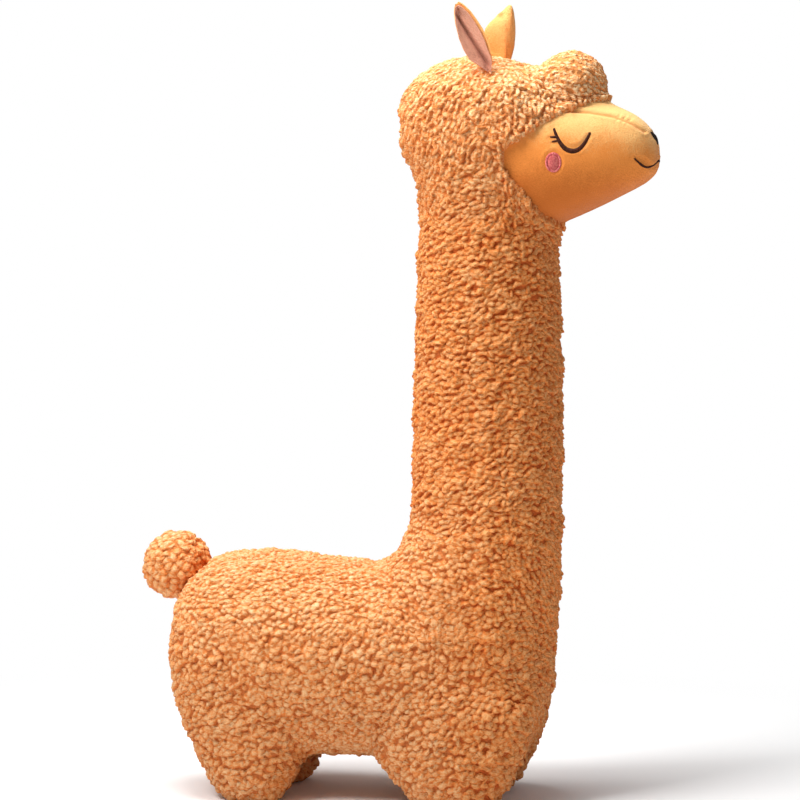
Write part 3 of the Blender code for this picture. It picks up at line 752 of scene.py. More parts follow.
@dataclass
class StuffedSkin:
    """The cloth of one stuffed body, swollen over its filling."""

    source: str
    voxel: float = 0.0065
    lift: float = 0.0023
    smoothing: int = 4
    pressure: float = 4.0
    quality: int = 4
    frames: int = 12
    cap: float = 0.0025
    crowding: float = 5.0
    thing: bpy.types.Object | None = None
    rest: np.ndarray | None = None

    def build(self) -> "StuffedSkin":
        """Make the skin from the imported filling, swell it and lift it to the cloth's level.

        Returns:
            The skin itself.
        """
        self.thing = merged_copy(self.source, "skin_" + self.source)
        remesh = self.thing.modifiers.new("even", "REMESH")
        remesh.mode = "VOXEL"
        remesh.voxel_size = self.voxel
        settle(self.thing, self.smoothing)
        mesh = self.thing.data
        self.rest = points_of(mesh) + normals_of(mesh) * self.lift
        self.swell()
        move_points(mesh, points_of(mesh) + normals_of(mesh) * self.lift)
        LOG.info("%s: %d points", self.thing.name, len(self.rest))
        return self

    def swell(self) -> None:
        """Blow the skin up a little with the Cloth modifier, and cap how far a point may move."""
        thing = self.thing
        before = points_of(thing.data)
        cloth = thing.modifiers.new("stuffing", "CLOTH")
        cloth.settings.use_pressure = True
        cloth.settings.uniform_pressure_force = self.pressure
        cloth.settings.effector_weights.gravity = 0.0
        cloth.settings.quality = self.quality
        cloth.point_cache.frame_start = 1
        cloth.point_cache.frame_end = self.frames
        scene = bpy.context.scene
        for frame in range(1, self.frames + 1):
            scene.frame_set(frame)
        apply_modifiers(thing)
        scene.frame_set(1)
        outward = normals_of(thing.data)
        moved = points_of(thing.data) - before
        moved -= outward * np.minimum((moved * outward).sum(axis=1, keepdims=True), 0.0)
        far = np.linalg.norm(moved, axis=1, keepdims=True)
        moved *= np.minimum(1.0, self.cap / np.maximum(far, 1e-9))
        LOG.info("cloth pass moved up to %.1f mm", far.max() * 1000.0)
        move_points(thing.data, before + moved)

    def sprouts(self, seed: int, spacing: float, low: float = -1.0, high: float = 9.0) -> Sprouts:
        """Scatter places evenly over the skin, none nearer to another than the spacing.

        Args:
            seed: The seed of the scatter.
            spacing: The least distance between two places, in metres.
            low: The lowest height at which they lie.
            high: The greatest.

        Returns:
            The places with their normals.
        """
        mesh = self.thing.data
        points = points_of(mesh)
        normals = normals_of(mesh)
        triangles = triangles_of(mesh)
        middles = points[triangles][:, :, 2].mean(axis=1)
        triangles = triangles[(middles >= low) & (middles < high)]
        corners = points[triangles]
        spans = np.cross(corners[:, 1] - corners[:, 0], corners[:, 2] - corners[:, 0])
        areas = np.linalg.norm(spans, axis=1) / 2.0
        rng = np.random.default_rng(seed)
        count = int(areas.sum() / spacing ** 2 * self.crowding)
        drawn = rng.choice(len(triangles), size=count, p=areas / areas.sum())
        first = np.sqrt(rng.random(count))
        second = rng.random(count)
        shares = np.stack([1.0 - first, first * (1.0 - second), first * second], axis=1)[:, :, None]
        spots = (corners[drawn] * shares).sum(axis=1)
        keep = thin_out(spots, spacing)
        shares = shares[keep]
        drawn = triangles[drawn[keep]]
        return Sprouts(
            spots[keep],
            unit((normals[drawn] * shares).sum(axis=1)),
            (self.rest[drawn] * shares).sum(axis=1),
        )


def thin_out(spots: np.ndarray, spacing: float) -> np.ndarray:
    """Keep spots in order, dropping each that is too near to one already kept.

    Args:
        spots: Rows of x, y and z.
        spacing: The least distance between two that are kept.

    Returns:
        The numbers of the spots that stay.
    """
    cells: dict = {}
    kept = []
    near = [(i, j, k) for i in (-1, 0, 1) for j in (-1, 0, 1) for k in (-1, 0, 1)]
    grid = np.floor(spots / spacing).astype(int)
    limit = spacing * spacing
    for number, (cell, spot) in enumerate(zip(map(tuple, grid), spots.tolist())):
        crowded = False
        for i, j, k in near:
            for other in cells.get((cell[0] + i, cell[1] + j, cell[2] + k), ()):
                gap = (spot[0] - other[0]) ** 2 + (spot[1] - other[1]) ** 2 + (spot[2] - other[2]) ** 2
                if gap < limit:
                    crowded = True
                    break
            if crowded:
                break
        if not crowded:
            cells.setdefault(cell, []).append(spot)
            kept.append(number)
    return np.array(kept)


def wander(points: np.ndarray, scale: float, seed: int) -> np.ndarray:
    """Return a smooth random number for each point, between about -1 and 1.

    Args:
        points: Rows of x, y and z.
        scale: The width of its swells, in metres.
        seed: The seed of its waves.

    Returns:
        One number a point.
    """
    rng = np.random.default_rng(seed)
    total = np.zeros(len(points))
    for _ in range(9):
        wave = unit(rng.normal(size=(1, 3)))[0] * (2.0 * math.pi / scale) * rng.uniform(0.6, 1.5)
        total += np.sin(points @ wave + rng.uniform(0.0, 2.0 * math.pi))
    return total / 3.2


@dataclass(frozen=True)
class NubShape:
    """One nub or wisp of the pile: a soft oval dome that may bow along its run."""

    length: float
    width: float
    height: float
    bow: float = 0.0


@dataclass(frozen=True)
class Paleness:
    """How pale the nubs are: deeper on the neck and the chest, with painted light on the crown, the
    forelock and faces that turn up, and painted shade on faces that turn away from the lamps.
    """

    trunk: float = 0.36
    chest: float = 0.24
    neck: float = 0.08
    nape: float = 0.34
    # painted light from above on the crown and on the forelock
    crown: float = 0.30
    forelock: float = 0.45
    # painted shade on faces that turn away from the lamps, and painted light on faces that turn up
    front: float = 0.34
    painted_top_light: float = 0.32
    neck_slope: float = 0.25
    neck_from: float = 0.10
    neck_heights: tuple = (0.28, 0.42)
    neck_fronts: tuple = (-0.06, 0.04)
    chest_fronts: tuple = (0.05, 0.12)
    nape_heights: tuple = (0.69, 0.81)
    crown_heights: tuple = (0.86, 0.93)
    forelock_fronts: tuple = (0.12, 0.18)
    forelock_heights: tuple = (0.83, 0.87)
    throat_heights: tuple = (0.82, 0.88)

    def at(self, points: np.ndarray, normals: np.ndarray) -> np.ndarray:
        """Work out the paleness at places on the cloth.

        Args:
            points: The places.
            normals: The way that the cloth faces there.

        Returns:
            One number a place, from 0 to 1.
        """
        x, z = points[:, 0], points[:, 2]
        neck = eased(z + self.neck_slope * (x - self.neck_from), *self.neck_heights)
        neck = neck * eased(x, *self.neck_fronts)
        trunk = self.trunk - self.chest * eased(x, *self.chest_fronts)
        pale = trunk * (1.0 - neck) + neck * (self.neck + self.nape * eased(z, *self.nape_heights))
        # painted light from above on the crown and the forelock
        pale += self.crown * eased(z, *self.crown_heights)
        pale += self.forelock * eased(x, *self.forelock_fronts) * eased(z, *self.forelock_heights)
        # painted shade on faces that turn towards +x, away from the lamps, below the head
        pale -= self.front * np.maximum(normals[:, 0], 0.0) * (1.0 - eased(z, *self.throat_heights))
        # painted light on faces that turn up
        return np.clip(pale + self.painted_top_light * np.maximum(normals[:, 2], 0.0), 0.0, 1.0)


@dataclass
class Pile:
    """The nubs that stand on a stuffed skin, and the relief that they give it."""

    sprouts: Sprouts
    zones: np.ndarray
    edge: np.ndarray
    seed: int
    base: float = 0.0011
    base_patch: float = 0.009
    # painted highlight on the side of each nub that faces the lamp, and the way to that lamp
    painted_glint: float = 0.30
    painted_glint_from: tuple = (-0.5, -0.2, 0.85)
    edge_growth: float = 0.45
    edge_place: float = 0.0035
    calm_crown: float = 0.36
    tilt: float = 0.32
    crease: float = 0.0006
    # painted shade in the creases where two nubs meet
    painted_crease_shade: float = 0.6
    patch: float = 0.036
    droop: float = 0.35
    spread: float = 0.60
    neck_spread: float = 0.40
    neck_climb: float = 0.22
    back_spread: float = 0.40
    back_slope: float = 0.25
    back_wave: float = 0.45
    back_patch: float = 0.16
    head_spread: float = 0.36
    head_crown: tuple = (0.105, 0.0, 0.960)
    forelock_crown: tuple = (0.110, 0.0, 0.935)
    size_span: tuple = (0.80, 1.22)
    size_clump: float = 0.08
    height_span: tuple = (0.70, 1.25)
    height_clump: float = 0.22
    calm_heights: tuple = (0.87, 0.93)

    def shapes(self) -> dict:
        """Choose the nubs of each zone.

        Returns:
            The zone's nub shapes, by zone.
        """
        nub = NubShape(0.0064, 0.0052, 0.0047)
        pea = NubShape(0.0050, 0.0045, 0.0040)
        bean = NubShape(0.0080, 0.0047, 0.0045, 50.0)
        curl = NubShape(0.0088, 0.0037, 0.0043, 90.0)
        flake = NubShape(0.0070, 0.0037, 0.0046)
        crimp = NubShape(0.0084, 0.0032, 0.0046, 60.0)
        lens = NubShape(0.0056, 0.0040, 0.0044, 20.0)
        flame = NubShape(0.0100, 0.0033, 0.0047, 40.0)
        return {
            Zone.TRUNK: (nub, bean, pea, curl, bean),
            Zone.TAIL: (nub, bean, curl, nub),
            Zone.BACK: (flake, lens, pea, flake),
            Zone.NECK: (flake, crimp, lens, crimp, flake),
            Zone.HEAD: (flame, crimp, flame, lens),
            Zone.FORELOCK: (flame, crimp, flame, lens),
        }

    def lie(self, rng: np.random.Generator) -> np.ndarray:
        """Choose the way that each nub runs along the cloth.

        Args:
            rng: The random numbers.

        Returns:
            One unit vector a place.
        """
        points, normals = self.sprouts.points, self.sprouts.normals
        round_it = np.cross(UP, normals) * np.sign(-normals[:, 1:2] + 1e-6)
        flow = round_it.copy()
        spread = np.full(len(normals), self.spread)
        neck = self.zones == Zone.NECK
        flow[neck] = round_it[neck] + self.neck_climb * UP
        spread[neck] = self.neck_spread
        back = self.zones == Zone.BACK
        slope = self.back_slope + self.back_wave * wander(points, self.back_patch, 83)
        flow[back] = np.array((1.0, 0.0, 0.0)) - slope[back][:, None] * UP
        spread[back] = self.back_spread
        for zone, crown in ((Zone.HEAD, self.head_crown), (Zone.FORELOCK, self.forelock_crown)):
            here = self.zones == zone
            flow[here] = unit(points[here] - np.array(crown))
            spread[here] = self.head_spread
        along = unit(flow - normals * (flow * normals).sum(axis=1, keepdims=True))
        angle = (rng.normal(0.0, 1.0, size=len(normals)) * spread)[:, None]
        return along * np.cos(angle) + np.cross(normals, along) * np.sin(angle)

    def sizes(self, rng: np.random.Generator) -> np.ndarray:
        """Draw each nub from its zone's shapes.

        Args:
            rng: The random numbers.

        Returns:
            Rows of length, width, height and bow.
        """
        rows = np.zeros((len(self.zones), 4))
        for zone, shapes in self.shapes().items():
            here = np.flatnonzero(self.zones == zone)
            table = np.array([(nub.length, nub.width, nub.height, nub.bow) for nub in shapes])
            rows[here] = table[rng.integers(0, len(shapes), size=len(here))]
        clump = wander(self.sprouts.rest, self.patch, 5)
        size = rng.uniform(*self.size_span, size=len(rows)) * (1.0 + self.size_clump * clump)
        rows[:, :2] *= size[:, None]
        tall = rng.uniform(*self.height_span, size=len(rows)) * (1.0 + self.height_clump * clump)
        rows[:, 2] *= tall
        rows[:, 2] *= 1.0 + self.edge_growth * hump(self.edge - self.edge_place, self.edge_place)
        calm = eased(self.sprouts.points[:, 2], *self.calm_heights)
        rows[:, 2] *= 1.0 - self.calm_crown * calm
        rows[:, 3] *= rng.choice((-1.0, 1.0), size=len(rows))
        return rows

    def reached(self, points: np.ndarray, reaches: np.ndarray) -> tuple[np.ndarray, np.ndarray]:
        """Pair each nub with the points of the skin that it can reach.

        Args:
            points: The skin's points.
            reaches: How far each nub reaches.

        Returns:
            The nub's number and the point's number of each pair.
        """
        tree = KDTree(len(points))
        for number, point in enumerate(points):
            tree.insert(point, number)
        tree.balance()
        owners, members = [], []
        for number, (spot, reach) in enumerate(zip(self.sprouts.points, reaches)):
            near = [found[1] for found in tree.find_range(spot, reach)]
            members.extend(near)
            owners.extend([number] * len(near))
        return np.array(owners), np.array(members)

    def relief(self, points: np.ndarray) -> tuple[np.ndarray, np.ndarray]:
        """Work out how the nubs raise the points of a fine skin.

        Args:
            points: The skin's points.

        Returns:
            How high each point stands, and its "pile" colour: its share of its own nub's height,
            with a painted highlight on the side towards the lamp and painted shade in the creases,
            its nub's tint and its nub's paleness, which holds painted light and shade.
        """
        rng = np.random.default_rng(self.seed)
        along = self.lie(rng)
        across = np.cross(self.sprouts.normals, along)
        rows = self.sizes(rng)
        tints = rng.random(len(rows))
        pales = Paleness().at(self.sprouts.points, self.sprouts.normals)
        owners, members = self.reached(points, rows[:, 0])
        offset = points[members] - self.sprouts.points[owners]
        length, width, height, bow = rows[owners].T
        run = (offset * along[owners]).sum(axis=1)
        side = (offset * across[owners]).sum(axis=1) - bow * run ** 2
        share = np.sqrt(np.maximum(1.0 - (run / length) ** 2 - (side / width) ** 2, 0.0))
        # painted highlight: how far each point lies towards the lamp from its nub's middle
        lit = np.clip(offset @ unit(np.array([self.painted_glint_from]))[0] / width, -1.0, 1.0)
        value = share * height * (1.0 + self.tilt * np.clip(-offset[:, 2] / width, -1.5, 1.5))
        order = np.argsort(value, kind="stable")
        best = np.zeros(len(points))
        best[members[order]] = value[order]
        colours = np.tile(np.array((0.0, 0.5, 0.3, 1.0)), (len(points), 1))
        colours[members[order], 1] = tints[owners[order]]
        colours[members[order], 2] = pales[owners[order]]
        shade = np.clip(share + self.painted_glint * lit * np.sqrt(share), 0.0, 1.0)
        colours[members[order], 0] = shade[order]
        winner = np.full(len(points), -1)
        winner[members[order]] = order
        beaten = value.copy()
        beaten[winner[winner >= 0]] = 0.0
        second = np.zeros(len(points))
        np.maximum.at(second, members, beaten)
        # painted shade in the creases where two nubs meet
        colours[:, 0] *= 1.0 - self.painted_crease_shade * np.exp(-(best - second) / self.crease)
        low = self.base * (1.0 + 0.5 * wander(points, self.base_patch, 63))
        return np.maximum(best, low), colours


@dataclass
class Window:
    """The opening of the fleece through which the short plush of the face shows."""

    trees: list
    reach: float = 0.02

    @classmethod
    def read(cls) -> "Window":
        """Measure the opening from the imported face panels."""
        return cls([surface_of_node(node) for node in FACE_NODES])

    def away(self, points: np.ndarray) -> np.ndarray:
        """Return how far each point is from the face cloth, up to the reach."""
        return np.minimum.reduce([distance_to(tree, points, self.reach) for tree in self.trees])


@dataclass
class FleeceCover:
    """The curly fleece: one fine cloth, raised into nubs and parted into its pieces."""

    skin: StuffedSkin
    material: bpy.types.Material
    spacing: float = 0.0063
    back_spacing: float = 0.0055
    neck_spacing: float = 0.0055
    head_spacing: float = 0.0052
    back_foot: float = 0.215
    neck_foot: float = 0.335
    head_foot: float = 0.752
    back_wave: tuple = (0.022, 0.09, 71)
    head_wave: tuple = (0.030, 0.10, 72)
    neck_slope: float = 0.25
    neck_from: float = 0.10
    neck_back: float = -0.02
    forelock_foot: float = 0.845
    forelock_back: float = 0.150
    rise: float = 0.0018
    sunk: float = 0.0026
    border: float = 0.0008
    border_run: float = 0.0013
    bare_depth: float = 0.0018
    bare_run: float = 0.0020
    ruffles: tuple = ((0.0005, 0.0060, 61), (0.0007, 0.021, 62))
    bands: tuple = (
        (-1.0, 0.190, "legs"), (0.190, 0.420, "back"), (0.420, 0.752, "neck"), (0.752, 2.0, "head")
    )

    def zones(self, sprouts: Sprouts) -> np.ndarray:
        """Sort the sprouts into their zones.

        Args:
            sprouts: The places on the cloth.

        Returns:
            The zone of each.
        """
        x, z = sprouts.points[:, 0], sprouts.points[:, 2]
        waves = [
            high * wander(sprouts.points, wide, seed)
            for high, wide, seed in (self.back_wave, self.head_wave)
        ]
        neck_foot = self.neck_foot + self.neck_slope * (self.neck_from - x)
        found = np.full(len(x), Zone.TRUNK, dtype=object)
        found[z > self.back_foot + waves[0]] = Zone.BACK
        found[(z > neck_foot) & (x > self.neck_back)] = Zone.NECK
        found[z > self.head_foot + waves[1]] = Zone.HEAD
        found[(z > self.forelock_foot) & (x > self.forelock_back)] = Zone.FORELOCK
        return found

    def raised(self, skin: StuffedSkin, pile: Pile, level: np.ndarray, name: str) -> bpy.types.Object:
        """Refine a copy of a skin and raise its pile.

        Args:
            skin: The stuffed skin.
            pile: The nubs on it.
            level: How far each of the skin's points lies above it before the nubs.
            name: The name of the copy.

        Returns:
            The fine cloth, with its "pile" attribute.
        """
        cloth = linked(name, skin.thing.data.copy())
        store(cloth.data, "level", level)
        subdivide(cloth)
        mesh = cloth.data
        points, normals = points_of(mesh), normals_of(mesh)
        base = take(mesh, "level")
        height, colours = pile.relief(points)
        ruffle = sum(high * wander(points, wide, seed) for high, wide, seed in self.ruffles)
        grown = np.clip((base + self.bare_depth) / self.bare_run, 0.0, 1.0)
        points += normals * (base + (height + ruffle) * grown)[:, None]
        points[:, 2] -= pile.droop * height * np.sqrt(np.maximum(1.0 - normals[:, 2] ** 2, 0.0))
        points[:, 2] = np.maximum(points[:, 2], 0.0)
        move_points(mesh, points)
        store(mesh, "pile", colours)
        return cloth

    def parted(self, cloth: bpy.types.Object, name: str, keep: np.ndarray) -> bpy.types.Object:
        """Copy some faces of the fine cloth as a piece of their own.

        Args:
            cloth: The fine cloth.
            name: The piece's name.
            keep: True for each face that stays.

        Returns:
            The piece.
        """
        piece = linked(name, cloth.data.copy())
        choose(piece)
        bpy.ops.object.mode_set(mode="EDIT")
        bpy.ops.mesh.select_mode(type="FACE")
        bpy.ops.object.mode_set(mode="OBJECT")
        piece.data.polygons.foreach_set("select", ~keep)
        bpy.ops.object.mode_set(mode="EDIT")
        bpy.ops.mesh.delete(type="FACE")
        bpy.ops.object.mode_set(mode="OBJECT")
        piece.data.shade_smooth()
        return piece

    def grown(self) -> Sprouts:
        """Scatter the nubs over the body, closer together further up.

        Returns:
            The places of all nubs.
        """
        sprouts = self.skin.sprouts(11, self.spacing, high=self.back_foot)
        for seed, spacing, low, high in (
            (12, self.back_spacing, self.back_foot, self.neck_foot),
            (13, self.neck_spacing, self.neck_foot, self.head_foot),
            (14, self.head_spacing, self.head_foot, 9.0),
        ):
            sprouts = sprouts.joined(self.skin.sprouts(seed, spacing, low, high))
        return sprouts

    def build(self, window: Window) -> None:
        """Make the fleece of the body, in eight pieces.

        Args:
            window: The face opening, which grows no pile.
        """
        sprouts = self.grown()
        pile = Pile(sprouts, self.zones(sprouts), window.away(sprouts.rest), 23)
        away = window.away(self.skin.rest)
        bare = 1.0 - np.clip((away - self.border) / self.border_run, 0.0, 1.0)
        store(self.skin.thing.data, "away", away)
        cloth = self.raised(self.skin, pile, self.rise - (self.rise + self.sunk) * bare, "fleece")
        mesh = cloth.data
        count = len(mesh.polygons)
        middles = np.empty(count * 3, dtype=np.float32)
        mesh.polygons.foreach_get("center", middles)
        middles = middles.reshape(-1, 3)
        starts = np.empty(count, dtype=np.int32)
        mesh.polygons.foreach_get("loop_start", starts)
        corners = np.empty(len(mesh.loops), dtype=np.int32)
        mesh.loops.foreach_get("vertex_index", corners)
        outside = take(mesh, "away")[corners[starts]] > self.border
        stands_for = {
            "fleece_legs_left": ("belly_gusset",),
            "fleece_back_left": ("fleece_side_left",),
            "fleece_back_right": ("fleece_side_right",),
        }
        for side, hand in ((1.0, "left"), (-1.0, "right")):
            for low, high, part in self.bands:
                name = "fleece_" + part + "_" + hand
                here = (middles[:, 1] * side > 0.0) & (middles[:, 2] >= low) & (middles[:, 2] < high)
                piece = self.parted(cloth, name, here & outside)
                seen_as(piece, self.material, "curly_fleece", *stands_for.get(name, ()))
        bpy.data.objects.remove(cloth, do_unlink=True)


@dataclass
class TailBall:
    """The stuffed ball of the tail, with its own nubs."""

    cover: FleeceCover
    spacing: float = 0.0064
    voxel: float = 0.0055
    cap: float = 0.0015

    def build(self) -> None:
        """Make the ball and raise its pile."""
        ball = StuffedSkin("tail_filling", voxel=self.voxel, cap=self.cap).build()
        sprouts = ball.sprouts(31, self.spacing)
        count = len(sprouts.points)
        pile = Pile(sprouts, np.full(count, Zone.TAIL, dtype=object), np.full(count, 1.0), 41)
        level = np.full(len(ball.rest), self.cover.rise)
        tail = self.cover.raised(ball, pile, level, "tail_fleece")
        tail.data.shade_smooth()
        seen_as(tail, self.cover.material, "curly_fleece", "tail_cover")
        bpy.data.objects.remove(ball.thing, do_unlink=True)


@dataclass
class FaceCloth:
    """The short plush of the face, with its sewn channels and the dents of its embroidery."""

    skin: StuffedSkin
    material: bpy.types.Material
    margin: float = 0.009
    tuck: float = 0.0022
    tuck_from: float = 0.0020
    tuck_run: float = 0.0050
    channel_depth: float = 0.0017
    channel_width: float = 0.0017
    pucker: float = 0.0006
    pucker_place: float = 0.0042
    pucker_width: float = 0.0022
    stitch_dent: float = 0.0008
    nose_dent: float = 0.0014
    dent_width: float = 0.0022
    rim_place: float = 0.0045
    rim_width: float = 0.0020
    gather_depth: float = 0.0011
    gather_width: float = 0.0016
    gather_reach: float = 0.0060
    deepest: float = 0.0014
    clearance: float = 0.0006
    chin_back: float = 0.20
    gathers: tuple = (0.003, 0.009, 0.016, 0.086, 0.093, 0.099)
    bridge_seam: tuple = (
        (0.200, 0.8562),
        (0.2144, 0.8563),
        (0.2522, 0.8538),
        (0.2802, 0.8489),
        (0.2980, 0.8427),
        (0.3160, 0.8310),
    )
    thing: bpy.types.Object | None = None

    def build(self, window: Window) -> "FaceCloth":
        """Cut the face from the stuffed skin, refine it and sew its channels.

        Args:
            window: The opening of the fleece.

        Returns:
            The face, for what is stitched on it.
        """
        mesh = self.skin.thing.data
        away = window.away(self.skin.rest)
        triangles = triangles_of(mesh)
        inside = triangles[(away[triangles] < self.margin).all(axis=1)]
        used, renumbered = np.unique(inside, return_inverse=True)
        level = -self.tuck * np.clip((away[used] - self.tuck_from) / self.tuck_run, 0.0, 1.0)
        points = points_of(mesh)[used] + normals_of(mesh)[used] * level[:, None]
        self.thing = mesh_of("face_cloth", points, renumbered.reshape(-1, 3))
        choose(self.thing)
        bpy.ops.object.mode_set(mode="EDIT")
        bpy.ops.mesh.select_all(action="SELECT")
        bpy.ops.mesh.tris_convert_to_quads()
        bpy.ops.object.mode_set(mode="OBJECT")
        subdivide(self.thing)
        self.sew()
        self.thing.data.shade_smooth()
        seen_as(self.thing, self.material, "short_plush", *FACE_NODES)
        return self

    def sew(self) -> None:
        """Press the seams between the panels and the embroidery into the cloth."""
        mesh = self.thing.data
        points = points_of(mesh)
        normals = normals_of(mesh)
        along, seams = distance_to_path(points[:, (0, 2)], np.array(self.bridge_seam))
        below = (normals[:, 2] < 0.0) & (points[:, 0] > self.chin_back)
        chin = np.where(below, np.abs(points[:, 1]), 1.0)
        seams = np.minimum(np.where(normals[:, 2] > -0.2, seams, 1.0), chin)
        groove_and_painted_shade = hump(seams, self.channel_width)
        press = self.channel_depth * groove_and_painted_shade
        press -= self.pucker * hump(seams - self.pucker_place, self.pucker_width)
        for place in self.gathers:
            pull = hump(along - place, self.gather_width) * hump(seams, self.gather_reach)
            press += self.gather_depth * pull
        for node in EMBROIDERY_NODES:
            near = distance_to(surface_of_node(node), points, 0.012)
            depth = self.nose_dent if node == "nose" else self.stitch_dent
            press += depth * hump(near, self.dent_width)
            press -= 0.5 * self.stitch_dent * hump(near - self.rim_place, self.rim_width)
        points -= normals * np.minimum(press, self.deepest)[:, None]
        move_points(mesh, self.cleared(points))
        # the seam groove's mask, also used as painted shade in the seam
        store(mesh, "groove_and_painted_shade", groove_and_painted_shade)

    def cleared(self, points: np.ndarray) -> np.ndarray:
        """Lift every point that would sink into the filling back out of it.

        Args:
            points: The cloth's points.

        Returns:
            The points, none nearer to the filling than the clearance.
        """
        tree = surface_of_node(self.skin.source)
        for number, point in enumerate(points):
            place, normal, _, _ = tree.find_nearest(point, 0.02)
            if place is None:
                continue
            gap = (Vector(point) - place).dot(normal)
            if gap < self.clearance:
                points[number] = point + np.array(normal) * (self.clearance - gap)
        return points


@dataclass(frozen=True)
class Thread:
    """One embroidery thread of length 1 along x, plump in its middle and thin at its ends."""

    width: float
    steps: int
    sides: int = 4
    blunt: float = 0.35

    def girth(self, share: float) -> float:
        """Return half the thread's width at a share of its run."""
        return self.width / 2.0 * math.sin(math.pi * (0.09 + 0.82 * share)) ** self.blunt

    def model(self) -> tuple[np.ndarray, np.ndarray]:
        """Model the thread by extruding a small ring and swelling it at each step.

        Returns:
            The thread's points and its triangles.
        """
        deselect()
        size = self.girth(0.0)
        bpy.ops.mesh.primitive_circle_add(
            vertices=self.sides,
            radius=size,
            fill_type="NGON",
            rotation=(math.pi / 2.0, 0.0, math.pi / 2.0),
        )
        thread = bpy.context.object
        bpy.ops.object.transform_apply(location=True, rotation=True, scale=True)
        bpy.ops.object.mode_set(mode="EDIT")
        bpy.ops.mesh.select_all(action="SELECT")
        stride = Vector((1.0 / self.steps, 0.0, 0.0))
        for step in range(1, self.steps + 1):
            bpy.ops.mesh.extrude_region_move(TRANSFORM_OT_translate={"value": stride})
            factor = self.girth(step / self.steps) / size
            size = self.girth(step / self.steps)
            bpy.ops.transform.resize(value=(factor, factor, factor), center_override=stride * step)
        bpy.ops.mesh.select_all(action="SELECT")
        bpy.ops.mesh.normals_make_consistent(inside=False)
        bpy.ops.object.mode_set(mode="OBJECT")
        mesh = thread.data
        points, triangles = points_of(mesh), triangles_of(mesh)
        points[:, 2] -= points[:, 2].min() + self.width / 2.0
        bpy.data.objects.remove(thread, do_unlink=True)
        bpy.data.meshes.remove(mesh)
        return points, triangles


